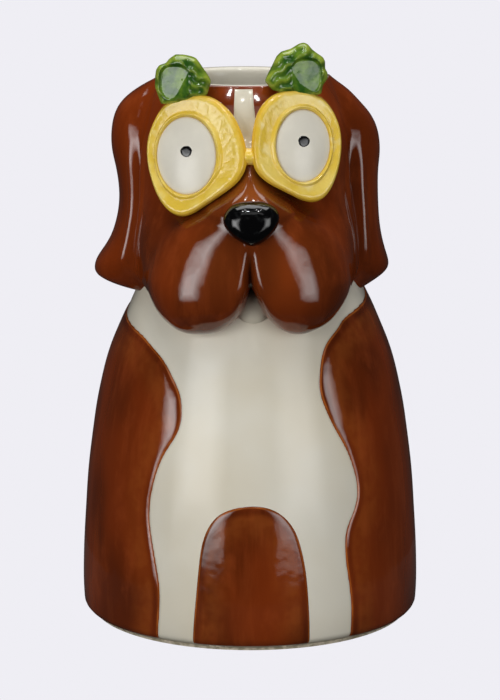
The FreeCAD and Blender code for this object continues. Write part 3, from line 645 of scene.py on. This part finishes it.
class DogGlazes(bpy.types.PropertyGroup):
    brown: hue("Brown", "Brown glaze", 123, 48, 11)
    brown_deep: hue("Deep brown", "Brown glaze where it is thicker", 92, 35, 7)
    brown_light: hue("Light brown", "Brush strokes in the brown glaze", 154, 69, 28)
    brown_pooled: hue("Pooled brown", "Brown glaze in creases", 44, 15, 6)
    # Amber is also the colour of the painted highlight on the snout's top and the jowls' fronts
    amber: hue("Amber", "Brown glaze at its borders", 172, 92, 36)
    cream: hue("Cream", "Cream glaze", 224, 216, 196)
    cream_light: hue("Light cream", "Cream glaze where it is thicker", 229, 224, 209)
    # Stained cream is also the painted shadow on the chin's top
    cream_stain: hue("Stained cream", "Cream glaze beside the brown", 160, 150, 124)
    yellow: hue("Yellow", "Yellow glaze", 230, 195, 70)
    yellow_light: hue("Light yellow", "Paler yellow glaze", 240, 212, 108)
    # The pale flecks are partly painted highlights
    yellow_pale: hue("Pale yellow", "Flecks in the yellow glaze", 240, 220, 146)
    yellow_deep: hue("Deep yellow", "Yellow glaze in grooves", 228, 180, 44)
    green: hue("Green", "Green glaze", 108, 142, 38)
    green_deep: hue("Deep green", "Green glaze where it is thicker", 48, 92, 28)
    green_light: hue("Light green", "Green glaze on the tips of the leaves", 156, 174, 62)
    green_pooled: hue("Pooled green", "Green glaze in creases", 34, 72, 20)
    white: hue("White", "White glaze of the eyes", 221, 216, 202)
    black: hue("Black", "Black glaze", 4, 4, 5)
    # Grey speckles in the black glaze
    black_worn: hue("Worn black", "Thin places in the black glaze", 30, 31, 32)
    bare: hue("Bare clay", "Unglazed clay", 214, 202, 180)


class DogStudio(bpy.types.PropertyGroup):
    camera_distance: length("Camera distance", "From the middle of the planter, level", 1275)
    camera_height: length("Camera height", "Above the floor", 383.5)
    camera_pitch: number("Camera pitch", "How far it looks down", math.radians(11.9), unit="ROTATION")
    focal_length: number("Focal length", "Of the lens, in millimetres", 153.6)
    ambient: number("Ambient light", "Strength of the even light", 0.026, min=0)
    lamp: number("Lamp light", "Power of the top soft box in watts, which the others follow", 11, min=0)
    backdrop: hue("Backdrop", "Colour behind the planter", 239, 238, 244)


# Pieces


def chest_lines():
    """Both borders of the chest as places on the torso, unrolled."""
    up = np.linspace(-8, 150, 260)
    return [places(np.radians(side(up)) * torso_radius(up), up) for side in (chest_left, chest_right)]


def chest_depth(turn, up):
    """Distance from the chest's border: positive on the chest, negative on the coat."""
    left, right = (border_distance(torso_radius(up) * turn, up, line) for line in chest_lines())
    return np.minimum(left, -right)


def coat_reliefs(up):
    """How far the coat stands above the chest near its border, and how much more away from it."""
    return size("coat_relief"), size("shoulder_relief") * (0.12 + 0.88 * hill((up - 104) / 21))


def chest_radius(up):
    return torso_radius(up) - sum(coat_reliefs(up))


def base_corner(up):
    """How far the flank draws in above the underside."""
    return 2.4 * np.clip(1 - (up - UNDERSIDE) / 3.4, 0, 1) ** 2.2


class TorsoOperator(bpy.types.Operator):
    """Casts the torso with its brown coat, its cavity and its drain hole"""

    bl_idname = "dog_planter.torso"
    bl_label = "Torso"

    def execute(self, context):
        turn = front_turns(440)
        flank = np.r_[UNDERSIDE, 1.75, 2.1, 2.7, 3.5, np.arange(4.4, 143.2, 0.9)]
        depth = chest_depth(turn[None], flank[:, None] + 0 * turn[None])
        near, wide = coat_reliefs(flank[:, None])
        below = np.minimum(depth, 0)
        coat = near * (1 - np.exp(below / 0.9)) + wide * (1 - np.exp(below / 8))
        dip = -np.minimum(1.3 * np.maximum(depth, 0), 1.35)
        radius = (chest_radius(flank) - base_corner(flank))[:, None] + coat + dip
        outer = round_axis(turn[None], radius, flank[:, None])
        inner_up = np.r_[146, 143, 136, 128, np.arange(120, 16, -8), 12, 9.6]
        neck = 43.6 + np.maximum(0, 126 - inner_up) * 1.5
        inner_radius = np.minimum(torso_radius(inner_up) - size("wall"), neck)
        inner_radius[-1] -= 3
        closing = [(47.5, 146), *zip(inner_radius, inner_up), *FLOOR_SECTION]
        rest = [round_axis(turn, r, up) for r, up in closing]
        bm = ring_tube(len(flank) + len(rest), len(turn))
        set_places(bm, np.concatenate([outer, rest]))
        blank = np.zeros((len(rest), len(turn)))
        cavity = blank + (np.arange(len(rest)) > 0)[:, None]
        marks = {"border": np.concatenate([-depth, blank]), "inside": np.concatenate([0 * depth, cavity])}
        fired(bm, "torso", brown_glaze, ["torso_shell"], marks)
        return {"FINISHED"}


class ChestOperator(bpy.types.Operator):
    """Lays the pale chest under the coat's borders"""

    bl_idname = "dog_planter.chest"
    bl_label = "Chest"

    def execute(self, context):
        bm = bmesh.new()
        bmesh.ops.create_grid(bm, x_segments=170, y_segments=150, size=1)
        flat = np.array([vert.co[:2] for vert in bm.verts]) / 2 + 0.5
        share = np.where(flat[:, 1] < 0.05, flat[:, 1] * 0.6, 0.03 + (flat[:, 1] - 0.05) * 0.97 / 0.95)
        bottom, top = 1.7, 150.5
        up = bottom + (top - bottom) * share
        over = 1.1 / torso_radius(up)
        left = np.radians(chest_left(up)) - over
        right = np.radians(chest_right(up)) + over
        turn = left + (right - left) * flat[:, 0]
        radius = chest_radius(up) - base_corner(up)
        set_places(bm, round_axis(turn, radius, up))
        bmesh.ops.recalc_face_normals(bm, faces=bm.faces)
        outward = sum(face.normal.dot(face.calc_center_median()) for face in list(bm.faces)[:50])
        if outward < 0:
            bmesh.ops.reverse_faces(bm, faces=bm.faces)
        bmesh.ops.solidify(bm, geom=bm.faces, thickness=1.0 * MM)
        x, y, z = np.array([vert.co for vert in bm.verts]).T / MM
        depth = chest_depth(np.arctan2(x, -y), z)
        marks = {"thin_glaze_and_painted_light": hill(np.maximum(depth, 0) / 0.5) * 0.4}
        fired(bm, "chest", cream_glaze, ["chest_bib"], marks)
        return {"FINISHED"}


class BellyPatchOperator(bpy.types.Operator):
    """Lays the raised brown patch low on the belly"""

    bl_idname = "dog_planter.belly_patch"
    bl_label = "Belly patch"

    def execute(self, context):
        turns = np.linspace(0, TURN, 360, endpoint=False)
        outline = np.array(BELLY_PATCH)
        share = np.arange(len(outline))
        fine = np.linspace(0, share[-1], 600)
        line = places(*(smooth(places(share, outline[:, k]))(fine) for k in (0, 1)))
        off = line - PATCH_MIDDLE
        around = np.arctan2(off[:, 1], off[:, 0])
        order = np.argsort(around)
        wrapped = (turns + math.pi) % TURN - math.pi
        reach = np.interp(wrapped, around[order], np.hypot(*off.T)[order], period=TURN)
        rings = np.r_[np.linspace(0.06, 0.9, 24), np.linspace(0.91, 1, 16)]
        seen = on_rings(PATCH_MIDDLE, rings, reach, turns)
        across, up = seen[..., 0], np.maximum(seen[..., 1], 1.65)
        depth = np.maximum(border_distance(across, up, line), 0)
        base = chest_radius(up) - base_corner(up)
        turn = np.arcsin(np.clip(across / torso_radius(up), -1, 1))
        rise = 0.6 * (1 - np.exp(-depth / 0.8)) + 0.4 * (1 - np.exp(-depth / 5)) - 0.05
        face = round_axis(turn, base + rise, up)
        back = round_axis(turn, base - 1.0, up)
        x, z = PATCH_MIDDLE
        belly_radius = 73
        poles = [
            round_axis(math.asin(x / belly_radius), chest_radius(z) + lift, z) for lift in (0.95, -1)
        ]
        pressed("belly_patch", brown_glaze, "belly_arch", face, back, poles, {"border": depth}, 40)
        return {"FINISHED"}


jowl_sides = {
    side: [smooth([(row[0], row[k]) for row in table]) for k in (1, 2, 3)] + [smooth(MUZZLE_FRONT)]
    for side, table in ((-1, LEFT_JOWL), (1, RIGHT_JOWL))
}
ear_sides = {
    side: [smooth(table) for table in (outside, EAR_THICK, EAR_DEEP)]
    for side, outside in ((-1, LEFT_EAR), (1, RIGHT_EAR))
}


def skull(at):
    """Distance from the head without its ears and muzzle."""
    across, deep = at[..., 0] - HEAD_MIDDLE, at[..., 1]
    return np.hypot(across, deep) - head_radius(at[..., 2])


def ear(at, side):
    """Distance from one ear, a flap whose lower end is cut off at a slant."""
    outside, thick, deep = (read(at[..., 2]) for read in ear_sides[side])
    across = (at[..., 0] * side - (outside - thick)) / thick
    along = (at[..., 1] - 0.5) / deep
    out = (np.abs(across) ** 2.3 + np.abs(along) ** 2.3) ** (1 / 2.3)
    flap = (out - 1) * np.minimum(thick, deep)
    slope, foot, edge = EAR_CUTS[side]
    slant = (foot + (at[..., 0] * side - edge) * slope - at[..., 2]) * 0.9
    return keep_in(flap, slant, 3.5)


def jowl(at, side):
    """Distance from one half of the muzzle, a stack of rounded oblongs."""
    up = at[..., 2]
    outer, middle, inner, front = (read(up) for read in jowl_sides[side])
    off = at[..., 0] * side - middle
    half = np.maximum(np.where(off > 0, outer - middle, middle - inner), 1.0)
    square = np.where(off > 0, 2.4 + 0.6 * np.clip((180 - up) / 25, 0, 1), 3.6)
    behind = at[..., 1] - MUZZLE_BACK
    along = behind / np.where(behind < 0, front + MUZZLE_BACK, -MUZZLE_BACK)
    out = (np.abs(off / half) ** square + np.abs(along) ** square) ** (1 / square)
    ends = np.maximum(LEFT_JOWL[0][0] - up, up - MUZZLE_TOP)
    return keep_in((out - 1) * np.minimum(half, 20), ends, 2.0)


def cheek(at, side):
    return keep_in(swelling(at, *CHEEKS[side]), CHEEK_FOOT - at[..., 2], 3.0)


def crease(at):
    """How deep the fold before each ear is, less the rolled edges beside it."""
    up = at[..., 2]
    fade = np.clip((up - 149) / 8, 0, 1) * np.clip((212 - up) / 16, 0, 1)
    off = (np.abs(np.arctan2(at[..., 0] - HEAD_MIDDLE, -at[..., 1])) - CREASE_TURN) * 50
    folded = 1.6 * hill(off / 1.2) - 0.6 * hill((off - 2.8) / 1.5) - 0.7 * hill((off + 3) / 1.6)
    return folded * fade


def head_form(at):
    """Distance from the whole head: skull, ears, jowls and the top of the muzzle."""
    fillet = size("fillet")
    muzzle = blend_in(jowl(at, -1), jowl(at, 1), 0.6)
    cheeks = np.minimum(cheek(at, -1), cheek(at, 1))
    face = blend_in(blend_in(skull(at), cheeks, 2 * fillet), muzzle, 2 * fillet)
    return blend_in(face, np.minimum(ear(at, -1), ear(at, 1)), fillet) + crease(at)


def head_front(across, up):
    """The head's face as seen from the front: its depth at places across and up."""
    start = places(across, 0.0, up)
    way = np.broadcast_to(np.array([0.0, -1.0, 0.0]), start.shape)
    return -first_face(head_form, start, way, 90.0, 15.0)


def bulge(grid, reach):
    """How far each place of a ring grid stands out from the mean of its surroundings."""
    blurred = grid.copy()
    for _ in range(reach):
        sides = (np.roll(blurred, 1, 1) + np.roll(blurred, -1, 1)) / 2
        ends = blurred.copy()
        ends[1:-1] = (blurred[2:] + blurred[:-2]) / 2
        blurred = (2 * blurred + sides + ends) / 4
    along = np.gradient(grid, axis=0)
    round_about = np.roll(grid, -1, 1) - np.roll(grid, 1, 1)
    normal = np.cross(round_about, along)
    normal /= np.maximum(np.linalg.norm(normal, axis=-1, keepdims=True), 1e-9)
    return ((grid - blurred) * normal).sum(-1)


class HeadOperator(bpy.types.Operator):
    """Casts the head with its ears and jowls, open at the top"""

    bl_idname = "dog_planter.head"
    bl_label = "Head"

    def execute(self, context):
        mouth = size("mouth_radius")
        turn = front_turns(580, 2.2)
        # Rays leave the axis: tilted down from the lower start, level between, tilted up from the upper one
        lower, upper, edge = 174.0, 204.0, 234.0
        low = np.radians(np.r_[np.linspace(-46, -36, 10), np.linspace(-35.2, 0, 60)])
        level = np.arange(lower + 1, upper, 1.0)
        high = math.atan2(edge - upper, mouth + 4.6) * np.linspace(0.0, 1, 44)
        tilt = np.r_[low, 0 * level, high][:, None] + 0 * turn
        start_up = np.r_[0 * low + lower, level, 0 * high + upper][:, None] + 0 * turn
        start = places(HEAD_MIDDLE, 0.0, start_up)
        way = places(np.sin(turn) * np.cos(tilt), -np.cos(turn) * np.cos(tilt), np.sin(tilt))
        nearest, neck = 30.0, 44.7
        near = np.where(tilt > 0, nearest, neck / np.cos(tilt))
        reach = np.maximum(first_face(head_form, start, way, 105.0, 28.0), near)
        outer = start + way * reach[..., None]
        closing = [(mouth + out, up) for out, up in HEAD_LIP] + list(HEAD_INSIDE)
        rest = np.stack([round_axis(turn, r, up, HEAD_MIDDLE) for r, up in closing])
        grid = np.concatenate([outer, rest])
        bm = ring_tube(len(grid), len(turn))
        set_places(bm, grid)
        out = bulge(outer, 14)
        thin_glaze_and_painted_light = np.clip(out / 0.9 - 0.25, 0, 1) * 0.35
        x, y, z = np.moveaxis(outer, -1, 0)
        # Painted highlight: lighter amber painted over the top of the snout and the fronts of the jowls,
        # added to the glaze that thins over bulges
        snout_highlight = hill((x - 0.5) / 10, (z - 193) / 7)
        jowl_face = hill((np.abs(x) - 16) / 16, (z - 166) / 16)
        thin_glaze_and_painted_light = np.maximum(thin_glaze_and_painted_light, (0.55 * snout_highlight + 0.11 * jowl_face) * (y < 0))
        pooled = np.clip(-out / 0.7 - 0.15, 0, 1) * 0.8
        blank = np.zeros(rest.shape[:2])
        marks = {
            "thin_glaze_and_painted_light": np.concatenate([thin_glaze_and_painted_light, blank]), "pooled": np.concatenate([pooled, blank]),
            "inside": np.concatenate([0 * thin_glaze_and_painted_light, blank + 1]),
        }
        nodes = ["head_shell", "snout", "left_jowl", "right_jowl", "left_ear", "right_ear"]
        fired(bm, "head", brown_glaze, nodes, marks)
        return {"FINISHED"}


class RimOperator(bpy.types.Operator):
    """Turns the cream collar of the mouth"""

    bl_idname = "dog_planter.rim"
    bl_label = "Mouth collar"

    def execute(self, context):
        turn = front_turns(240)
        bm = ring_tube(len(COLLAR_SECTION), len(turn))
        mouth = size("mouth_radius")
        set_places(bm, [round_axis(turn, mouth + out, up, HEAD_MIDDLE) for out, up in COLLAR_SECTION])
        fired(bm, "mouth_collar", cream_glaze, ["planting_rim"], {"thin_glaze_and_painted_light": np.zeros(len(bm.verts))})
        return {"FINISHED"}


class StripeOperator(bpy.types.Operator):
    """Lays the cream stripe down the forehead"""

    bl_idname = "dog_planter.stripe"
    bl_label = "Forehead stripe"

    def execute(self, context):
        turns = np.linspace(0, TURN, 160, endpoint=False)
        shrink = np.linspace(0.08, 1, 20)[:, None]
        square = np.maximum(np.abs(np.cos(turns)), np.abs(np.sin(turns)))
        across = np.cos(turns) / square
        up_share = np.sin(turns) / square * 0.5 + 0.5
        low, high = STRIPE_ENDS
        height = low + (high - low) * (0.5 + (up_share - 0.5) * shrink)
        start, end = STRIPE_SPAN
        share = (height - start) / (end - start)
        half = smooth(STRIPE_HALF)(np.clip(share, 0, 1))
        x = -0.3 - 2.3 * (1 - (1 - share) ** 2) + half * across * shrink
        y = head_front(x, height)
        face = places(x, y - (0.35 * (1 - shrink**8) - 0.10), height)
        back = places(x, y + 1.2, height)
        x, z = STRIPE_MIDDLE
        pole = np.array([x, head_front([x], [z])[0] - 0.3, z])
        thin_glaze_and_painted_light = np.full(height.shape, 0.28)
        poles = [pole, pole + [0, 1.4, 0]]
        pressed("forehead_stripe", cream_glaze, "forehead_blaze", face, back, poles, {"thin_glaze_and_painted_light": thin_glaze_and_painted_light}, 0.28)
        return {"FINISHED"}


class ChinOperator(bpy.types.Operator):
    """Presses the small pale chin between the jowls"""

    bl_idname = "dog_planter.chin_pad"
    bl_label = "Chin"

    def execute(self, context):
        bm, ball = unit_ball(64, 40)
        middle, half = CHIN
        off = ball * half
        off[:, 0] *= 1 - 0.45 * (ball[:, 2] * 0.5 + 0.5)
        set_places(bm, middle + off)
        # Painted shadow: the chin is painted darker towards its top, under the muzzle
        fired(bm, "chin_pad", cream_glaze, ["chin"], {"thin_glaze_and_painted_light": np.clip(0.25 + ball[:, 2] * 0.45, 0, 1)})
        return {"FINISHED"}


class NoseOperator(bpy.types.Operator):
    """Presses the nose, a rounded triangle with a domed face"""

    bl_idname = "dog_planter.nose"
    bl_label = "Nose"

    def execute(self, context):
        middle = np.array(NOSE_MIDDLE)
        turns = np.linspace(0, TURN, 160, endpoint=False)
        tilts = np.linspace(0, math.pi, 62)[1:-1, None]
        spread = np.sin(tilts) ** 0.62 * rounded_loop(NOSE_OUTLINE, middle, 9)(turns)
        x = middle[0] + spread * np.cos(turns)
        z = middle[1] + spread * np.sin(turns)
        forward = np.where(tilts < math.pi / 2, NOSE_DOME, 8.0) * np.cos(tilts)
        y = NOSE_DEPTH - forward + (z - middle[1]) * 0.16
        bm = lens(*x.shape)
        front, back = ((middle[0], depth, middle[1]) for depth in (NOSE_DEPTH - NOSE_DOME, NOSE_BACK))
        set_places(bm, on_lens(front, places(x, y, z), back))
        fired(bm, "nose_button", black_glaze, ["nose"])
        return {"FINISHED"}


def along_sight(across, up, depth):
    """A place read from the front at the depth of the goggles, moved along the line of sight."""
    share = (depth - CAMERA_DEPTH) / (READ_DEPTH - CAMERA_DEPTH)
    return across * share, CAMERA_UP - (CAMERA_UP - up) * share


def on_plate(side, seen, rise):
    """Puts places read from the front on a goggle's leaning plate, and lifts them by rise."""
    (x, y, z), aside, back = PLATES[side]
    across, up = seen[..., 0], seen[..., 1]
    depth = y + aside * (across - x) * side + back * (up - z)
    across, up = along_sight(across, up, depth)
    depth = y + aside * (across - x) * side + back * (up - z)
    normal = np.array([aside * side, -1.0, back])
    normal /= np.linalg.norm(normal)
    return places(across, depth, up) + normal * np.asarray(rise)[..., None]


def eye_reach(side, turns):
    wide, tall = EYES[side][1]
    return 1 / np.hypot(np.cos(turns) / wide, np.sin(turns) / tall)


class GogglesOperator(bpy.types.Operator):
    """Presses the two pineapple slices and the bridge between them"""

    bl_idname = "dog_planter.goggles"
    bl_label = "Goggles"

    @staticmethod
    def to_wall(edge):
        """Rings from an edge straight back into the head's wall."""
        into = np.array(edge)
        wall = -np.sqrt(np.maximum(HEAD_SEAT**2 - (edge[:, 0] - HEAD_MIDDLE) ** 2, 100))
        into[:, 1] = np.maximum(wall, edge[:, 1] + 1.5)
        return np.array([edge + (into - edge) * share for share in (0.25, 0.6, 1)])

    def execute(self, context):
        turns = np.linspace(0, TURN, 420, endpoint=False)
        shares = np.r_[np.linspace(0, 0.12, 10), np.linspace(0.14, 0.86, 34), np.linspace(0.88, 1, 14)]
        shares = shares[:, None]
        saw = np.abs(((turns / TURN * 15) % 1) - 0.5) * 2
        for (side, name), outline in zip(SIDES, (LEFT_SLICE, RIGHT_SLICE)):
            middle = EYES[side][0]
            inner = eye_reach(side, turns) + 0.75
            width = rounded_loop(outline, middle, 7)(turns) - inner
            reach = inner + shares * width
            seen = middle + reach[..., None] * places(np.cos(turns), np.sin(turns))
            line = hill((shares - (0.30 + 0.42 * saw)) * width / 0.6)
            fade = np.clip(np.cos(turns + 0.3) * 0.8 + 0.35 * np.sin(turns * 3 + side), 0.1, 1)
            rise = smooth(SLICE_SECTION)(shares) * size("slice_bead") - 0.07 * line * fade
            face = on_plate(side, seen, rise)
            walls = [*self.to_wall(face[-1]), *self.to_wall(face[0])[::-1]]
            bm = ring_tube(len(face) + len(walls), len(turns))
            set_places(bm, np.concatenate([face, walls]))
            edge = np.clip((shares - 0.78) / 0.22, 0, 1) * 0.9 + hill((shares - 0.22) / 0.05) * 0.2
            edge = edge + np.clip((0.04 - shares) / 0.04, 0, 1) * 0.2
            pooled = np.clip(edge + 0.1 * line * fade, 0, 1)
            marks = {"pooled": np.concatenate([pooled, np.full((len(walls), len(turns)), 0.2)])}
            fired(bm, f"{name}_slice", yellow_glaze, [f"{name}_goggle_rim"], marks)
        bm, ball = unit_ball(48, 32)
        middle, half = BRIDGE
        off = ball * half
        off[:, 2] *= 0.75 + 0.25 * np.abs(ball[:, 0])
        set_places(bm, middle + off)
        # Deeper yellow over the bridge's lower half, darker towards the bottom
        fired(bm, "bridge", yellow_glaze, ["goggle_bridge"], {"pooled": np.clip(-ball[:, 2], 0, 1) * 0.6})
        return {"FINISHED"}


class EyesOperator(bpy.types.Operator):
    """Presses the domed eyes and their pupils"""

    bl_idname = "dog_planter.eyes"
    bl_label = "Eyes"

    @staticmethod
    def plug(name, glaze, node, side, middle, seen, rise, lifts, marks=None):
        """Presses a lens into a goggle's plate. Lifts are those of its front pole and of its back."""
        face, back = on_plate(side, seen, rise[:, None]), on_plate(side, seen, lifts[1])
        poles = [on_plate(side, middle, lift) for lift in lifts]
        pressed(name, glaze, node, face, back, poles, marks)

    def execute(self, context):
        dome = size("eye_dome")
        turns = np.linspace(0, TURN, 180, endpoint=False)
        seat, sunk = 0.95, 0.4
        for side, name in SIDES:
            middle, half = (np.array(part) for part in EYES[side])
            rings = np.linspace(0.04, 1, 36)
            seen = on_rings(middle, rings, eye_reach(side, turns) + seat, turns)
            rise = dome * (1 - rings**2) - sunk - 0.4 * np.clip((rings - 0.95) / 0.05, 0, 1) ** 2
            marks = {"pooled": 0.5 * np.clip((rings - 0.965) / 0.03, 0, 1)[:, None] + 0 * turns}
            lifts = dome - sunk, -6.0
            self.plug(f"{name}_eyeball", white_glaze, f"{name}_eye", side, middle, seen, rise, lifts, marks)
            spot = np.array(PUPILS[side])
            offset = (spot - middle) / (half + seat)
            base = dome * (1 - (offset**2).sum()) - sunk
            rings = np.linspace(0.1, 1, 14)
            wobble = 2.4 + 0.06 * np.sin(3 * turns + side) + 0.03 * np.sin(7 * turns)
            seen = on_rings(spot, rings, wobble, turns)
            rise = base + 0.4 * np.sqrt(np.clip(1 - rings**4, 0, 1)) - 0.15
            lifts = base + 0.25, base - 1.0
            self.plug(f"{name}_pupil_dot", black_glaze, f"{name}_pupil", side, spot, seen, rise, lifts)
        return {"FINISHED"}


class LeavesOperator(bpy.types.Operator):
    """Presses the two tufts of leaves on top of the slices"""

    bl_idname = "dog_planter.leaves"
    bl_label = "Leaf crowns"

    def execute(self, context):
        turns = np.linspace(0, TURN, 300, endpoint=False)
        rings = np.r_[np.linspace(0.03, 0.84, 40), np.linspace(0.86, 1, 14)]
        out = rings[:, None]
        for (side, name), (outline, middle, flat) in zip(SIDES, (LEFT_CROWN, RIGHT_CROWN)):
            seen = on_rings(middle, rings, rounded_loop(outline, middle, 2.2)(turns), turns)
            across, up = (seen - flat)[..., 0] * -side, (seen - flat)[..., 1]
            oblong = (np.abs(across / 6.3) ** 3 + np.abs(up / 7.2) ** 3) ** (1 / 3)
            leaf = np.clip((1.12 - oblong) / 0.25, 0, 1)
            leaf = leaf * leaf * (3 - 2 * leaf)
            lie = 0.80 * up + 0.60 * across - 1.5 * np.hypot(across, up) ** 0.5
            ribs = np.cos(lie * TURN / 3.6 + 0.8 * np.sin(across * 0.9 - up * 0.5))
            ruffle = np.cos(turns * 9 + side) * out**3
            dome = 5.2 * np.sqrt(np.clip(1 - out**5, 0, 1))
            rise = dome * (1 + 0.10 * ruffle) + 0.42 * ribs * (1 - leaf) * (1 - out**6)
            plane = 4.0 + LEAF_SLOPES[side] * across - 0.18 * up
            rise = rise * (1 - leaf) + np.minimum(rise, plane) * leaf
            x, z = along_sight(seen[..., 0], seen[..., 1], LEAF_SEEN)
            face = places(x, LEAF_FRONT - rise, z)
            back = places(x * 0.9 + 0.1 * middle[0], LEAF_BACK, z * 0.9 + 0.1 * middle[1])
            poles = [(middle[0], depth, middle[1]) for depth in (LEAF_FRONT - rise[0].mean(), LEAF_BACK)]
            tips = np.clip((out - 0.80) / 0.12, 0, 1) * (0.6 + 0.4 * ruffle) * 0.8
            crests = np.clip(ribs - 0.35, 0, 1) * (1 - leaf) * 0.7
            grooves = np.clip(-ribs - 0.2, 0, 1) * (1 - leaf) * 0.55 + hill((leaf - 0.35) / 0.25) * 0.6
            marks = {"thin_glaze_and_painted_light": np.clip(tips + crests, 0, 1), "pooled": np.clip(grooves - tips, 0, 1)}
            pressed(f"{name}_leaves", green_glaze, f"{name}_leaf_crown", face, back, poles, marks)
        return {"FINISHED"}


class FootOperator(bpy.types.Operator):
    """Gives the foot ring its bare clay"""

    bl_idname = "dog_planter.foot"
    bl_label = "Foot ring"

    def execute(self, context):
        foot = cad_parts["foot_ring"]
        clay = once(bare_clay)
        foot.data.materials.clear()
        foot.data.materials.append(clay)
        for slot in foot.material_slots:
            slot.material = clay
        return {"FINISHED"}


def lamp(name, place, aim, width, height, watts):
    """An oblong lamp at a place in metres, turned towards its aim."""
    data = bpy.data.lights.new(name, "AREA")
    data.shape = "RECTANGLE"
    data.size, data.size_y, data.energy = width, height, watts
    made = bpy.data.objects.new(name, data)
    made.location = place
    way = np.array(aim) - place
    made.rotation_euler = (math.atan2(math.hypot(way[0], way[1]), -way[2]), 0, math.atan2(-way[0], way[1]))
    bpy.context.scene.collection.objects.link(made)


class StageOperator(bpy.types.Operator):
    """Sets up the floor, the backdrop, the soft boxes and the camera"""

    bl_idname = "dog_planter.stage"
    bl_label = "Stage"

    def execute(self, context):
        scene = context.scene
        studio = scene.dog_studio
        scene.view_settings.view_transform = "Standard"
        camera = bpy.data.objects.new("camera", bpy.data.cameras.new("camera"))
        camera.data.sensor_fit = "VERTICAL"
        camera.data.sensor_height = 36
        camera.data.lens = studio.focal_length
        camera.data.clip_end = 50
        camera.location = (0, -studio.camera_distance, studio.camera_height)
        camera.rotation_euler = (math.pi / 2 - studio.camera_pitch, 0, 0)
        scene.collection.objects.link(camera)
        scene.camera = camera

        world = bpy.data.worlds.new("studio")
        sky = Nodes(world)
        light = sky.node("ShaderNodeBackground", {}, {"Color": (1, 1, 1, 1), "Strength": studio.ambient})
        backdrop = sky.node("ShaderNodeBackground", {}, {"Color": opaque(studio.backdrop)})
        seen = sky.node("ShaderNodeLightPath", {}, {}, "Is Camera Ray")
        either = sky.node("ShaderNodeMixShader", {}, {0: seen, 1: light, 2: backdrop})
        sky.end("ShaderNodeOutputWorld", either)
        scene.world = world

        bm = bmesh.new()
        bmesh.ops.create_circle(bm, cap_ends=True, segments=96, radius=0.16)
        mesh = bpy.data.meshes.new("floor")
        bm.to_mesh(mesh)
        bm.free()
        dark = (0.06, 0.06, 0.06, 1.0)
        g = Glaze("floor_paper", Roughness=0.9, Base_Color=dark, Specular_IOR_Level=0.0)
        glow = g.node("ShaderNodeEmission", {}, {"Color": opaque(studio.backdrop)})
        seen = g.node("ShaderNodeLightPath", {}, {}, "Is Camera Ray")
        either = g.node("ShaderNodeMixShader", {}, {0: seen, 1: g.body, 2: glow})
        g.end("ShaderNodeOutputMaterial", either)
        mesh.materials.append(g.material)
        floor = bpy.data.objects.new("floor", mesh)
        scene.collection.objects.link(floor)

        # A soft box is brighter in its middle: panels of several sizes before each other
        for (side, name), strength in zip(SIDES, (1.0, 0.66)):
            for n, (width, height) in enumerate(BOX_PANELS):
                place = np.array(BOX_PLACE) * (side, 1, 1) * (1 - 0.01 * n)
                watts = studio.lamp * strength * width * height * 0.41
                lamp(f"{name}_box_{n}", place, (0, 0, 0.12), width, height, watts)
        lamp("top_box", (0.0, 0.35, 1.35), (0, 0, 0.15), 1.2, 0.8, studio.lamp)
        lamp("front_box", (0.0, -0.9, 1.15), (0, 0, 0.15), 0.8, 0.3, studio.lamp * 0.05)
        for n, (across, deep) in enumerate(SPARKS):
            lamp(f"spark_{n}", (across, deep, 1.2), (0, 0, 0.2), 0.035, 0.035, studio.lamp * 0.05)
        return {"FINISHED"}


OPERATORS = (
    StageOperator, TorsoOperator, ChestOperator, BellyPatchOperator, FootOperator, HeadOperator, RimOperator,
    StripeOperator, ChinOperator, NoseOperator, GogglesOperator, EyesOperator, LeavesOperator,
)


class DogPanel(bpy.types.Panel):
    """Lists the planter's pieces"""

    bl_idname = "VIEW3D_PT_dog_planter"
    bl_label = "Dog planter"
    bl_space_type = "VIEW_3D"
    bl_region_type = "UI"
    bl_category = "Dog planter"

    def draw(self, context):
        for settings in (context.scene.dog_sizes, context.scene.dog_glazes, context.scene.dog_studio):
            for word in settings.bl_rna.properties.keys():
                if word not in ("rna_type", "name"):
                    self.layout.prop(settings, word)
        for operator in OPERATORS:
            self.layout.operator(operator.bl_idname)


GROUPS = {"dog_sizes": DogSizes, "dog_glazes": DogGlazes, "dog_studio": DogStudio}


def register():
    for kind in (*GROUPS.values(), *OPERATORS, DogPanel):
        bpy.utils.register_class(kind)
    for word, kind in GROUPS.items():
        setattr(bpy.types.Scene, word, PointerProperty(type=kind))


def unregister():
    for word in GROUPS:
        delattr(bpy.types.Scene, word)
    for kind in (DogPanel, *reversed(OPERATORS), *GROUPS.values()):
        bpy.utils.unregister_class(kind)


def main():
    register()
    for operator in OPERATORS:
        group, word = operator.bl_idname.split(".")
        getattr(getattr(bpy.ops, group), word)()


if __name__ == "__main__":
    main()
